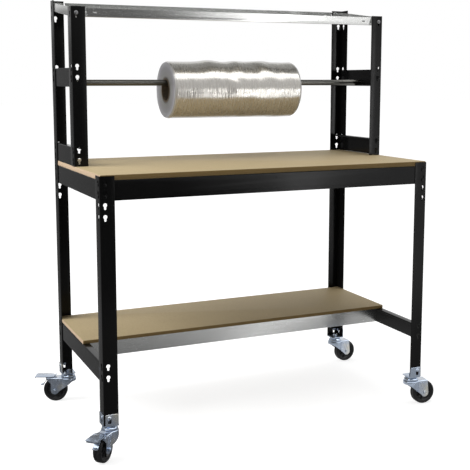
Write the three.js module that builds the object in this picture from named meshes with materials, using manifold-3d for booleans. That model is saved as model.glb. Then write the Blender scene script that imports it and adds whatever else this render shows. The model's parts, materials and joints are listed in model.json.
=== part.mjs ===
// Mobile packing bench: boltless steel frame, two boards, a tilted tray, a bar with a film roll and casters.
// Millimetres, +Z up, front towards -Y. The bench is drawn about the centre of its four posts with the floor
// at z = 0, and moved at the end so that the origin is the bottom centre of its bounding box.

import * as THREE from 'three';
import { mergeVertices } from 'three/addons/utils/BufferGeometryUtils.js';
import Module from 'manifold-3d';

const wasm = await Module();
wasm.setup();

// ---------- driving dimensions ----------

const WIDTH = 1210;             // over the outer faces of the posts, left to right
const DEPTH = 610;              // over the outer faces of the posts, front to rear
const WORKTOP_HEIGHT = 912;     // floor to the top of the worktop board
const CASTER_HEIGHT = 112;      // floor to the lower end of the posts
const UPPER_DEPTH = 303;        // depth of the upper frame, from the rear faces forwards
const GAP = 0.3;                // clearance kept between pieces that touch

const SHEET = 2;                // steel of posts and beams
const FLANGE = 48;              // width of each flange of a post
const BEND = 3.5;               // outer bend radius of the posts
const FRONT_POST_DROP = 3;      // front posts end this far below the worktop's top
const UPPER_POST_LENGTH = 532;
const REAR_POST_RISE = 571;     // rear posts end this far above the worktop

const KEYHOLE = { round: 6.5, slot: 3.6, drop: 11, inset: 17 };
const KEYHOLE_PITCH = 36.7;
const STUD = { shank: 2.8, head: 6, headThickness: 1.8, inset: 17 };

const BEAM_HEIGHT = 64;
const BEAM_FLANGE = 25;
const BEAM_LIP = 7;
const BEAM_BEND = 2.5;          // outer bend radius of the beams
const BOARD_THICKNESS = 16;
const SHELF_BOARD_THICKNESS = 12;
const SHELF_TOP = WORKTOP_HEIGHT - 590;
const SHELF_BEAM_FRONT = -5;    // front face of the shelf's front beam
const SHELF_OVERHANG = 43;      // the shelf board stands out in front of that beam

const BAR_RADIUS = 11;
const BAR_WALL = 1.5;
const ROLL_RADIUS = 105;
const ROLL_LENGTH = 508;
const ROLL_CENTRE_X = 30;
const CORE_BORE = 38;
const CORE_WALL = 6;

const TRAY_LIP = 30;
const TRAY_SHEET = 1.5;
const TRAY_TILT = THREE.MathUtils.degToRad(7.4);
const TRAY_FRONT_BOTTOM = WORKTOP_HEIGHT + 497;

const WHEEL_RADIUS = 44;
const WHEEL_WIDTH = 30;
const TRAIL = 48;               // the axle lies this far behind the swivel axis
const SWIVEL_INSET = 25;        // swivel axis to the outer faces of the post
const FORK_SHEET = 2.4;

// ---------- levels worked out from them ----------

const BEAM_TOP = WORKTOP_HEIGHT - BOARD_THICKNESS - GAP;
const SHELF_BEAM_TOP = SHELF_TOP - SHELF_BOARD_THICKNESS - GAP;
const LOW_CROSSBEAM_BOTTOM = WORKTOP_HEIGHT + GAP;
const MID_CROSSBEAM_BOTTOM = WORKTOP_HEIGHT + 267;
const LEFT = -WIDTH / 2;
const FRONT = -DEPTH / 2;
const UPPER_FRONT = DEPTH / 2 - UPPER_DEPTH;
const INSIDE = SHEET + GAP;     // a beam's or board's outer face to the outer face of the post
const END_CLEARANCE = INSIDE + SHEET + GAP;   // the end of a beam to the outer face of its post
const CORNER_RADIUS = 3;        // boards and tray pass the inner bend of the posts

// Height of the stud seats, each the middle of the round lower end of a keyhole.
const WORKTOP_STUDS = [BEAM_TOP - 14, BEAM_TOP - 14 - KEYHOLE_PITCH];
const SHELF_STUDS = [SHELF_BEAM_TOP - 14, SHELF_BEAM_TOP - 14 - KEYHOLE_PITCH];
const LOW_CROSS_STUDS = [WORKTOP_HEIGHT + 47.7, WORKTOP_HEIGHT + 11];
const MID_CROSS_STUDS = [WORKTOP_HEIGHT + 325.5, WORKTOP_HEIGHT + 325.5 - KEYHOLE_PITCH];
const TRAY_FRONT_BOLT = WORKTOP_HEIGHT + 510.5;
const TRAY_REAR_BOLT = TRAY_FRONT_BOLT + KEYHOLE_PITCH;
const CASTER_BOLT = CASTER_HEIGHT + 23;

// ---------- materials ----------

const BLACK_PAINT = { color: 0x1c1c1d, roughness: 0.42, metalness: 0.1 };
const GALVANISED = { color: 0xa9adb0, roughness: 0.38, metalness: 0.85 };
const ZINC = { color: 0xb4bcc6, roughness: 0.28, metalness: 0.9 };
const MDF = { color: 0xab9c7a, roughness: 0.7, metalness: 0 };
const RUBBER = { color: 0x141416, roughness: 0.65, metalness: 0 };
const NYLON = { color: 0x1f2023, roughness: 0.5, metalness: 0 };
const BAR_STEEL = { color: 0x62625f, roughness: 0.35, metalness: 0.85 };
const CARDBOARD = { color: 0x9a7d5c, roughness: 0.85, metalness: 0 };
const FILM = { color: 0xc2bcae, roughness: 0.2, metalness: 0 };

// ---------- solids ----------

function solidOf(geometry) {
  const bare = geometry.clone();
  bare.deleteAttribute('normal');
  bare.deleteAttribute('uv');
  const merged = mergeVertices(bare, 1e-4);
  return new wasm.Manifold(new wasm.Mesh({
    numProp: 3,
    vertProperties: new Float32Array(merged.attributes.position.array),
    triVerts: new Uint32Array(merged.index.array),
  }));
}

function geometryOf(solid) {
  const mesh = solid.getMesh();
  const geometry = new THREE.BufferGeometry();
  geometry.setAttribute('position', new THREE.BufferAttribute(mesh.vertProperties, 3));
  geometry.setIndex(new THREE.BufferAttribute(mesh.triVerts, 1));
  return geometry;
}

function joined(geometries) {
  return geometryOf(geometries.map(solidOf).reduce((sum, next) => sum.add(next)));
}

function cut(geometry, tools) {
  if (tools.length === 0) return geometry;
  const tool = tools.map(solidOf).reduce((sum, next) => sum.add(next));
  return geometryOf(solidOf(geometry).subtract(tool));
}

function common(first, second) {
  return geometryOf(solidOf(first).intersect(solidOf(second)));
}

function extruded(shape, depth, curveSegments = 6) {
  return new THREE.ExtrudeGeometry(shape, { depth, bevelEnabled: false, curveSegments, steps: 1 });
}

function outline(points) {
  return new THREE.Shape(points.map(([x, y]) => new THREE.Vector2(x, y)));
}

// A box between two corners.
function box(low, high) {
  const size = high.map((value, i) => value - low[i]);
  const middle = high.map((value, i) => (value + low[i]) / 2);
  return new THREE.BoxGeometry(...size).translate(...middle);
}

// A cylinder along an axis ('x', 'y' or 'z') from one end to the other, with its axis through the point
// (u, v) of the other two coordinates in x, y, z order.
function rod(axis, radius, from, to, u, v, segments = 12) {
  const geometry = new THREE.CylinderGeometry(radius, radius, to - from, segments);
  const middle = (from + to) / 2;
  if (axis === 'x') return geometry.rotateZ(-Math.PI / 2).translate(middle, u, v);
  if (axis === 'y') return geometry.translate(u, middle, v);
  return geometry.rotateX(Math.PI / 2).translate(u, v, middle);
}

// A shape drawn in x and z, stretched along y from one value to another.
function acrossY(shape, from, to, curveSegments = 6) {
  return extruded(shape, to - from, curveSegments).rotateX(Math.PI / 2).translate(0, to, 0);
}

// A closed profile of [radius, height] pairs turned about the z axis, its first facet at a start angle.
function turned(profile, segments, start = 0) {
  const points = profile.map(([radius, height]) => new THREE.Vector2(radius, height));
  return new THREE.LatheGeometry(points, segments, start).rotateX(Math.PI / 2);
}

function roundedRectangle(x0, y0, x1, y1, radius) {
  const shape = new THREE.Shape();
  shape.moveTo(x0 + radius, y0);
  shape.lineTo(x1 - radius, y0);
  shape.absarc(x1 - radius, y0 + radius, radius, -Math.PI / 2, 0);
  shape.lineTo(x1, y1 - radius);
  shape.absarc(x1 - radius, y1 - radius, radius, 0, Math.PI / 2);
  shape.lineTo(x0 + radius, y1);
  shape.absarc(x0 + radius, y1 - radius, radius, Math.PI / 2, Math.PI);
  shape.lineTo(x0, y0 + radius);
  shape.absarc(x0 + radius, y0 + radius, radius, Math.PI, Math.PI * 1.5);
  return shape;
}

// ---------- the assembly ----------

const bench = new THREE.Group();

function piece(name, geometry, finish, parent = bench) {
  const mesh = new THREE.Mesh(geometry, new THREE.MeshStandardMaterial(finish));
  mesh.name = name;
  parent.add(mesh);
  return mesh;
}

// ---------- posts: angle sections with keyholes in both flanges ----------

// The section of a post whose corner is at the origin and whose flanges run along +x and +y.
function angleSection() {
  const inner = BEND - SHEET;
  const shape = new THREE.Shape();
  shape.moveTo(BEND, 0);
  shape.lineTo(FLANGE, 0);
  shape.lineTo(FLANGE, SHEET);
  shape.lineTo(SHEET + inner, SHEET);
  shape.absarc(BEND, BEND, inner, -Math.PI / 2, -Math.PI, true);
  shape.lineTo(SHEET, FLANGE);
  shape.lineTo(0, FLANGE);
  shape.lineTo(0, BEND);
  shape.absarc(BEND, BEND, BEND, Math.PI, Math.PI * 1.5, false);
  return shape;
}

// Points of an arc from one angle to another, ends included.
function arcPoints(x, y, radius, from, to, steps) {
  return Array.from({ length: steps + 1 }, (_, i) => {
    const angle = from + (to - from) * i / steps;
    return [x + radius * Math.cos(angle), y + radius * Math.sin(angle)];
  });
}

// A round hole with a slot below it, drawn in x and z about the middle of the slot's lower end.
function keyholeShape(seatX, seatZ) {
  const { round, slot, drop } = KEYHOLE;
  const meet = Math.asin(slot / round);
  return outline([
    ...arcPoints(seatX, seatZ, slot, -Math.PI, 0, 3),
    ...arcPoints(seatX, seatZ + drop, round, meet - Math.PI / 2, Math.PI * 1.5 - meet, 5),
  ]);
}

function keyholeTools(seatZ) {
  const front = acrossY(keyholeShape(KEYHOLE.inset, seatZ), -1, SHEET + 1);
  const side = front.clone().rotateZ(Math.PI / 2).translate(SHEET, 0, 0);
  return [front, side];
}

function postGeometry(bottom, top, seats) {
  const bar = extruded(angleSection(), top - bottom, 2).translate(0, 0, bottom);
  return cut(bar, seats.flatMap(keyholeTools));
}

const FREE_SEATS = [1, 2].map((step) => WORKTOP_STUDS[1] - step * KEYHOLE_PITCH);
const CASTER_SEAT = CASTER_BOLT - KEYHOLE.drop;
const LOWER_SEATS = [...WORKTOP_STUDS, ...FREE_SEATS, ...SHELF_STUDS, CASTER_SEAT];
const UPPER_SEATS = [TRAY_FRONT_BOLT - KEYHOLE.drop, ...MID_CROSS_STUDS, ...LOW_CROSS_STUDS];
const REAR_SEATS = [...LOWER_SEATS, ...UPPER_SEATS, TRAY_REAR_BOLT - KEYHOLE.drop];

// The four corners, each with the quarter turns that bring the angle section's corner outwards.
const CORNERS = [
  { name: 'front_left', x: LEFT, y: FRONT, turns: 0 },
  { name: 'front_right', x: -LEFT, y: FRONT, turns: 1 },
  { name: 'rear_right', x: -LEFT, y: -FRONT, turns: 2 },
  { name: 'rear_left', x: LEFT, y: -FRONT, turns: 3 },
];

function atCorner(mesh, corner, y = corner.y) {
  mesh.position.set(corner.x, y, 0);
  mesh.rotation.z = corner.turns * Math.PI / 2;
}

for (const corner of CORNERS) {
  const isRear = corner.turns > 1;
  const top = isRear ? WORKTOP_HEIGHT + REAR_POST_RISE : WORKTOP_HEIGHT - FRONT_POST_DROP;
  const seats = isRear ? REAR_SEATS : LOWER_SEATS;
  atCorner(piece(`post_${corner.name}`, postGeometry(CASTER_HEIGHT, top, seats), BLACK_PAINT), corner);
}

for (const corner of CORNERS.slice(0, 2)) {
  const bottom = WORKTOP_HEIGHT + GAP;
  const geometry = postGeometry(bottom, WORKTOP_HEIGHT + UPPER_POST_LENGTH, UPPER_SEATS);
  atCorner(piece(`upper_post_${corner.name}`, geometry, BLACK_PAINT), corner, UPPER_FRONT);
}

// ---------- beams: a web with one inward flange and a short lip ----------

// The section of a beam in its depth and height: the web's outer face at 0, the flange's top at 0.
function beamSection(flangeAtBottom) {
  const edge = [
    ...arcPoints(BEAM_BEND, -BEAM_BEND, BEAM_BEND, Math.PI, Math.PI / 2, 2),
    ...arcPoints(BEAM_FLANGE - BEAM_BEND, -BEAM_BEND, BEAM_BEND, Math.PI / 2, 0, 2),
    [BEAM_FLANGE, -BEAM_LIP], [BEAM_FLANGE - SHEET, -BEAM_LIP], [BEAM_FLANGE - SHEET, -SHEET],
    [SHEET, -SHEET], [SHEET, -BEAM_HEIGHT], [0, -BEAM_HEIGHT],
  ];
  return outline(flangeAtBottom ? edge.map(([depth, height]) => [depth, -BEAM_HEIGHT - height]) : edge);
}

// Stud of a beam end: a shank through the keyhole's slot and a flat head on the far side of the post.
function stud(x, z) {
  const outside = -GAP - SHEET - GAP;
  return [
    rod('y', STUD.shank, outside - STUD.headThickness / 2, SHEET / 2, x, z, 4),
    rod('y', STUD.head, outside - STUD.headThickness, outside, x, z, 8),
  ];
}

// A beam along x about x = 0, its web's outer face at y = 0 and its top at the given height. Studs are given
// by their heights. The flange is cut back by trim at both ends, and extra solids are cut out or added.
function beam(length, top, { studs = [], trim = 0, flangeAtBottom = false, cuts = [], adds = [] }) {
  const bar = extruded(beamSection(flangeAtBottom), length)
    .rotateX(Math.PI / 2).rotateZ(Math.PI / 2).translate(-length / 2, 0, top);
  const ends = trim > 0 ? [-1, 1].map((side) => {
    const middle = side * (length / 2 - trim / 2 + 1);
    return box([middle - trim / 2 - 1, SHEET, top - BEAM_HEIGHT - 1],
      [middle + trim / 2 + 1, BEAM_FLANGE + 1, top + 1]);
  }) : [];
  const seatX = length / 2 + END_CLEARANCE - STUD.inset;
  const studs3d = studs.flatMap((z) => [...stud(-seatX, z), ...stud(seatX, z)]);
  const trimmed = cut(bar, [...ends, ...cuts]);
  return studs3d.length + adds.length > 0 ? joined([trimmed, ...studs3d, ...adds]) : trimmed;
}

// Places a beam drawn along x on one side of the frame, its outer face outwards, its middle at the given y.
function placeBeam(mesh, side, y = 0) {
  const turns = { front: 0, right: 1, rear: 2, left: 3 }[side];
  const away = (turns % 2 === 0 ? FRONT : LEFT) + INSIDE;
  const angle = turns * Math.PI / 2;
  mesh.rotation.z = angle;
  mesh.position.set(-Math.sin(angle) * away, Math.cos(angle) * away + y, 0);
}

const LONG_BEAM = WIDTH - 2 * END_CLEARANCE;
const SIDE_BEAM = DEPTH - 2 * END_CLEARANCE;
const CROSSBEAM = UPPER_DEPTH - 2 * END_CLEARANCE;
const CROSSBEAM_Y = (DEPTH - UPPER_DEPTH) / 2;
const FLANGE_TRIM = BEAM_FLANGE - SHEET + GAP;

// Slots in the web of the front and rear worktop beams for the tongues of the cross brace.
const TONGUE_LEVELS = [BEAM_TOP - 14, BEAM_TOP - 50];
const TONGUE_HEIGHT = 6;
const tongueSlots = TONGUE_LEVELS.map((z) => box(
  [-SHEET / 2 - GAP, -1, z - TONGUE_HEIGHT / 2 - GAP],
  [SHEET / 2 + GAP, SHEET + 1, z + TONGUE_HEIGHT / 2 + GAP]));

for (const side of ['front', 'rear']) {
  const geometry = beam(LONG_BEAM, BEAM_TOP, { studs: WORKTOP_STUDS, cuts: tongueSlots });
  placeBeam(piece(`worktop_beam_${side}`, geometry, BLACK_PAINT), side);
}
for (const side of ['left', 'right']) {
  const upper = beam(SIDE_BEAM, BEAM_TOP, { studs: WORKTOP_STUDS, trim: FLANGE_TRIM });
  placeBeam(piece(`worktop_beam_${side}`, upper, BLACK_PAINT), side);
  const lower = beam(SIDE_BEAM, SHELF_BEAM_TOP, { studs: SHELF_STUDS, trim: FLANGE_TRIM });
  placeBeam(piece(`shelf_beam_${side}`, lower, BLACK_PAINT), side);
}

const shelfRear = beam(LONG_BEAM, SHELF_BEAM_TOP, { studs: SHELF_STUDS });
placeBeam(piece('shelf_beam_rear', shelfRear, GALVANISED), 'rear');

// The shelf's front beam runs between the side beams. Its ends pass under their flanges and are bent
// rearwards into tabs that lie against their webs.
const TAB_LENGTH = 20;
const frontBeamTabs = [-1, 1].map((side) => {
  const face = side * LONG_BEAM / 2;
  return box([Math.min(face, face - side * SHEET), 0, SHELF_BEAM_TOP - BEAM_HEIGHT],
    [Math.max(face, face - side * SHEET), TAB_LENGTH, SHELF_BEAM_TOP - BEAM_LIP - 2]);
});
const frontBeamNotches = [-1, 1].map((side) => {
  const middle = side * (LONG_BEAM - FLANGE_TRIM) / 2;
  return box([middle - FLANGE_TRIM / 2 - 1, -1, SHELF_BEAM_TOP - BEAM_LIP - 1],
    [middle + FLANGE_TRIM / 2 + 1, SHEET + 1, SHELF_BEAM_TOP + 1]);
});
const shelfFrontOptions = { trim: FLANGE_TRIM, cuts: frontBeamNotches, adds: frontBeamTabs };
const shelfFront = beam(LONG_BEAM, SHELF_BEAM_TOP, shelfFrontOptions);
piece('shelf_beam_front', shelfFront, GALVANISED).position.y = SHELF_BEAM_FRONT;

// Cross brace under the worktop: a web with one flange, whose tongues go through the two long beams.
function crossBrace() {
  const half = DEPTH / 2 - INSIDE - SHEET - GAP;
  const flangeHalf = DEPTH / 2 - INSIDE - BEAM_FLANGE - GAP;
  const bottom = BEAM_TOP - BEAM_HEIGHT + 6;
  const web = box([-SHEET / 2, -half, bottom], [SHEET / 2, half, BEAM_TOP - BEAM_LIP - 1]);
  const crest = box([-SHEET / 2, -flangeHalf, BEAM_TOP - BEAM_LIP - 2], [SHEET / 2, flangeHalf, BEAM_TOP]);
  const flange = box([-SHEET / 2, -flangeHalf, BEAM_TOP - SHEET], [30, flangeHalf, BEAM_TOP]);
  const tongues = TONGUE_LEVELS.map((z) => box(
    [-SHEET / 2, FRONT + INSIDE - 0.6, z - TONGUE_HEIGHT / 2],
    [SHEET / 2, -FRONT - INSIDE + 0.6, z + TONGUE_HEIGHT / 2]));
  return joined([web, crest, flange, ...tongues]);
}
piece('worktop_cross_brace', crossBrace(), GALVANISED);

// ---------- upper end frames ----------

// Seat for the bar, cut out of the lip of the middle crossbeams.
const BAR_AXIS_Z = MID_CROSSBEAM_BOTTOM + SHEET + GAP + BAR_RADIUS;
const barSeat = rod('y', BAR_RADIUS + GAP, SHEET + 2, BEAM_FLANGE + 1, 0, BAR_AXIS_Z, 24);

for (const side of ['left', 'right']) {
  const low = beam(CROSSBEAM, LOW_CROSSBEAM_BOTTOM + BEAM_HEIGHT, { studs: LOW_CROSS_STUDS });
  placeBeam(piece(`low_crossbeam_${side}`, low, BLACK_PAINT), side, CROSSBEAM_Y);
  const options = { studs: MID_CROSS_STUDS, flangeAtBottom: true, cuts: [barSeat] };
  const middle = beam(CROSSBEAM, MID_CROSSBEAM_BOTTOM + BEAM_HEIGHT, options);
  placeBeam(piece(`middle_crossbeam_${side}`, middle, BLACK_PAINT), side, CROSSBEAM_Y);
}

// ---------- boards ----------

function board(frontY, rearY, thickness, top) {
  const half = WIDTH / 2 - INSIDE;
  const shape = roundedRectangle(-half, frontY, half, rearY, CORNER_RADIUS);
  return extruded(shape, thickness, 2).translate(0, 0, top - thickness);
}

const REAR_INSIDE = DEPTH / 2 - INSIDE;
piece('worktop_board', board(-REAR_INSIDE, REAR_INSIDE, BOARD_THICKNESS, WORKTOP_HEIGHT), MDF);
const shelfFrontEdge = SHELF_BEAM_FRONT - SHELF_OVERHANG;
piece('shelf_board', board(shelfFrontEdge, REAR_INSIDE, SHELF_BOARD_THICKNESS, SHELF_TOP), MDF);

// ---------- top tray: a sheet with four raised lips, tilted forwards ----------

const TRAY_BOLT = { shank: 4, head: 8, headThickness: 3.5, nut: 7.5, nutThickness: 6, grip: 7.3 };
const TRAY_SLOT = { fromEnd: 82, length: 14, height: 5 };
const TRAY_NOTCH = { inner: 50, outer: 44, slant: 8 };

function trayGeometry() {
  const half = WIDTH / 2 - INSIDE;
  const lean = TRAY_LIP * Math.sin(TRAY_TILT);
  const depth = (UPPER_DEPTH - 2 * INSIDE - lean) / Math.cos(TRAY_TILT);
  const outer = extruded(roundedRectangle(-half, 0, half, depth, CORNER_RADIUS), TRAY_LIP, 1);
  const hollowShape = roundedRectangle(-half + TRAY_SHEET, TRAY_SHEET, half - TRAY_SHEET, depth - TRAY_SHEET,
    CORNER_RADIUS - TRAY_SHEET);
  const hollow = extruded(hollowShape, TRAY_LIP, 1).translate(0, 0, TRAY_SHEET);
  const tools = [hollow];
  for (const side of [-1, 1]) {
    // the front and rear lips end in a slant beside the corner tabs
    const end = side * WIDTH / 2;
    const notch = outline([
      [end - side * (TRAY_NOTCH.inner + TRAY_NOTCH.slant), TRAY_SHEET],
      [end - side * TRAY_NOTCH.outer, TRAY_SHEET],
      [end - side * TRAY_NOTCH.outer, TRAY_LIP + 1],
      [end - side * TRAY_NOTCH.inner, TRAY_LIP + 1],
    ]);
    const slotX = end - side * TRAY_SLOT.fromEnd;
    const slot = roundedRectangle(slotX - TRAY_SLOT.length / 2, (TRAY_LIP - TRAY_SLOT.height) / 2,
      slotX + TRAY_SLOT.length / 2, (TRAY_LIP + TRAY_SLOT.height) / 2, TRAY_SLOT.height / 2 - 0.1);
    tools.push(acrossY(notch, -1, depth + 1), acrossY(slot, -1, depth + 1, 1));
  }
  const level = cut(outer, tools);
  const tilted = level.rotateX(TRAY_TILT).translate(0, UPPER_FRONT + INSIDE + lean, TRAY_FRONT_BOTTOM);
  const boltHoles = [-1, 1].flatMap((side) => {
    const x = side * (WIDTH / 2 - KEYHOLE.inset);
    const radius = TRAY_BOLT.shank + GAP;
    return [
      rod('y', radius, UPPER_FRONT, UPPER_FRONT + 15, x, TRAY_FRONT_BOLT, 10),
      rod('y', radius, DEPTH / 2 - 15, DEPTH / 2, x, TRAY_REAR_BOLT, 10),
    ];
  });
  return cut(tilted, boltHoles);
}

// A bolt along y: a round head outside the post, and a nut inside the tray's lip, which leans away from it.
function trayBolt() {
  const { shank, head, headThickness, nut, nutThickness, grip } = TRAY_BOLT;
  return turned([
    [0, headThickness + GAP], [head - 2.5, headThickness + GAP], [head, 1.2 + GAP], [head, GAP],
    [shank, GAP], [shank, -grip], [nut, -grip], [nut, -grip - nutThickness], [0, -grip - nutThickness],
  ].reverse(), 8).rotateX(Math.PI / 2);
}

piece('top_tray', trayGeometry(), GALVANISED);
for (const [side, sign] of [['left', -1], ['right', 1]]) {
  const x = sign * (WIDTH / 2 - KEYHOLE.inset);
  const front = piece(`tray_bolt_front_${side}`, trayBolt(), ZINC);
  front.position.set(x, UPPER_FRONT, TRAY_FRONT_BOLT);
  const rear = piece(`tray_bolt_rear_${side}`, trayBolt(), ZINC);
  rear.position.set(x, DEPTH / 2, TRAY_REAR_BOLT);
  rear.rotation.z = Math.PI;
}

// ---------- bar and film roll ----------

const BAR_HALF = WIDTH / 2 - INSIDE - SHEET - 1.2;

// A closed ring profile of [radius, height] pairs turned about x.
function ringAlongX(profile, segments) {
  return turned([...profile, profile[0]], segments).rotateY(Math.PI / 2);
}

const barTube = ringAlongX([
  [BAR_RADIUS - BAR_WALL, -BAR_HALF], [BAR_RADIUS, -BAR_HALF],
  [BAR_RADIUS, BAR_HALF], [BAR_RADIUS - BAR_WALL, BAR_HALF],
], 16);
piece('roll_bar', barTube, BAR_STEEL).position.set(0, CROSSBEAM_Y, BAR_AXIS_Z);

// The core hangs on the bar, so its axis lies below the bar's by the difference of the radii.
const roll = new THREE.Group();
roll.position.set(ROLL_CENTRE_X, CROSSBEAM_Y, BAR_AXIS_Z - (CORE_BORE - BAR_RADIUS - GAP));
bench.add(roll);

const coreOuter = CORE_BORE + CORE_WALL;
const half = ROLL_LENGTH / 2;
piece('roll_core', ringAlongX([
  [CORE_BORE, -half - 1], [coreOuter, -half - 1], [coreOuter, half + 1], [CORE_BORE, half + 1],
], 24), CARDBOARD, roll);
piece('film_roll', ringAlongX([
  [coreOuter + GAP, -half], [ROLL_RADIUS - 4, -half], [ROLL_RADIUS, -half + 5],
  [ROLL_RADIUS, half - 5], [ROLL_RADIUS - 4, half], [coreOuter + GAP, half],
], 32), FILM, roll);

// ---------- casters ----------

const BRACKET = { sheet: 2.5, base: 3, relief: 4, width: 47, earTop: CASTER_HEIGHT + 36 };
const BRACKET_BOTTOM = CASTER_HEIGHT - GAP - BRACKET.base;
const CAP_RADIUS = 26;
const KINGPIN = 5;
const FORK_TOP = 92.6;
const FORK = { frontRadius: 29, legs: 21, shellEnd: 80, skirt: 80, boss: 15, roofEnd: 57 };
const AXLE = 4;
const TYRE_INNER = 33.7;
const PIVOT = { x: 70, z: 87, radius: 2.5 };

// Base plate under the post and two ears bent up outside its flanges, with a relief at the post's corner.
function bracketGeometry() {
  const { sheet, base, relief, width, earTop } = BRACKET;
  const out = -GAP - sheet;
  const plan = outline([
    [relief, out], [width, out], [width + 2, 0], [width + 2, width + 2], [0, width + 2],
    [out, width], [out, relief], [relief, relief],
  ]);
  const plate = extruded(plan, base).translate(0, 0, BRACKET_BOTTOM);
  const face = roundedRectangle(relief, BRACKET_BOTTOM, width, earTop, 4);
  const slot = roundedRectangle(KEYHOLE.inset - 5.5, CASTER_BOLT - 17, KEYHOLE.inset + 6.5, CASTER_BOLT + 6,
    5.4);
  const ear = cut(acrossY(face, out, -GAP, 1), [acrossY(slot, out - 1, 1, 2)]);
  const otherEar = ear.clone().rotateZ(Math.PI / 2).translate(out - GAP, 0, 0);
  const hole = rod('z', KINGPIN + GAP, BRACKET_BOTTOM - 1, BRACKET_BOTTOM + base + 1,
    SWIVEL_INSET, SWIVEL_INSET, 12);
  return cut(joined([plate, ear, otherEar]), [hole]);
}

// Fixed half of the swivel: the race cap, and the kingpin with its rivet head below and its nut above.
function swivelHead() {
  const capTop = BRACKET_BOTTOM - GAP;
  const nutBottom = CASTER_HEIGHT;
  const roofBottom = FORK_TOP - FORK_SHEET;
  return turned([
    [0, roofBottom - 2.7], [9, roofBottom - 2.7], [9, roofBottom - GAP], [KINGPIN, roofBottom - GAP],
    [KINGPIN, FORK_TOP + 0.6], [CAP_RADIUS - 1, FORK_TOP + 0.6], [CAP_RADIUS, FORK_TOP + 2],
    [CAP_RADIUS, FORK_TOP + 5.5], [CAP_RADIUS - 4, FORK_TOP + 11], [CAP_RADIUS - 9, capTop],
    [KINGPIN, capTop], [KINGPIN, nutBottom], [9, nutBottom], [9, nutBottom + 7], [0, nutBottom + 7],
  ], 12);
}

// Plan of the fork: round about the swivel axis in front, two straight legs behind.
function forkPlan(offset) {
  const radius = FORK.frontRadius - offset;
  const leg = FORK.legs - offset;
  const meet = Math.asin(leg / radius);
  return outline([
    ...arcPoints(0, 0, radius, meet, Math.PI * 2 - meet, 9),
    [FORK.shellEnd, -leg],
    [FORK.shellEnd, leg],
  ]);
}

// Side view of the fork: a shallow skirt in front, a slanted edge down to the axle boss and a steep rear
// edge, which with a brake ends in a lug for its pivot pin.
function forkSide(hasBrake) {
  const lug = [[PIVOT.x - 8, PIVOT.z - 14], [PIVOT.x + 6, PIVOT.z - 5], [PIVOT.x + 6, FORK_TOP + 1]];
  return outline([
    [-FORK.frontRadius - 1, FORK_TOP + 1],
    [-FORK.frontRadius - 1, FORK.skirt],
    [-FORK.frontRadius + 8, FORK.skirt],
    ...arcPoints(TRAIL, WHEEL_RADIUS, FORK.boss, Math.PI * 1.25, Math.PI * 2, 5),
    ...(hasBrake ? lug : [[FORK.roofEnd, FORK_TOP + 1]]),
  ]);
}

function forkGeometry(hasBrake) {
  const shell = extruded(forkPlan(0), FORK_TOP);
  const hollow = extruded(forkPlan(FORK_SHEET), FORK_TOP - FORK_SHEET + 1).translate(0, 0, -1);
  const inside = FORK.legs - FORK_SHEET;
  const openRear = box([FORK.roofEnd, -inside, -1], [FORK.shellEnd + 1, inside, FORK_TOP + 1]);
  const pressed = common(cut(shell, [hollow, openRear]), acrossY(forkSide(hasBrake), -40, 40));
  const holes = [
    rod('z', KINGPIN + 0.5, FORK_TOP - FORK_SHEET - 1, FORK_TOP + 1, 0, 0, 10),
    rod('y', AXLE + GAP, -FORK.legs - 1, FORK.legs + 1, TRAIL, WHEEL_RADIUS, 10),
  ];
  if (hasBrake) holes.push(rod('y', PIVOT.radius + GAP, -FORK.legs - 1, FORK.legs + 1, PIVOT.x, PIVOT.z, 8));
  return cut(pressed, holes);
}

// Ring or shaft profiles of [radius, distance from the wheel's middle plane], turned about y.
function aboutAxle(profile, segments, start = 0) {
  return turned(profile, segments, start).rotateX(Math.PI / 2).translate(TRAIL, 0, WHEEL_RADIUS);
}

function mirroredRing(halfProfile) {
  const otherHalf = halfProfile.map(([radius, side]) => [radius, -side]).reverse();
  return [...halfProfile, ...otherHalf, halfProfile[0]];
}

function wheelGeometry() {
  const hubFace = FORK.legs - FORK_SHEET - 0.4;
  return aboutAxle(mirroredRing([
    [AXLE + 0.4, -hubFace], [11, -hubFace], [12.5, -7], [28, -6], [TYRE_INNER - GAP, -12],
  ]), 12);
}

// The tread's facets touch the circle of the wheel's radius, and one of them lies on the floor.
function tyreGeometry() {
  const edge = WHEEL_WIDTH / 2;
  const facets = 24;
  const tread = WHEEL_RADIUS / Math.cos(Math.PI / facets);
  return aboutAxle(mirroredRing([
    [TYRE_INNER, 2 - edge], [tread - 4, -edge], [tread, 7 - edge],
  ]), facets, Math.PI / facets);
}

function axleGeometry() {
  const outside = FORK.legs + GAP;
  return aboutAxle([
    [0, -outside - 4.5], [6.5, -outside - 4.5], [6.5, -outside], [AXLE, -outside],
    [AXLE, outside], [7, outside], [7, outside + 5.5], [0, outside + 5.5],
  ], 8);
}

const PEDAL = { start: 50, end: 122, width: 45, sheet: 2.2, z: 95.5, cheekY: 16 };

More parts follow.
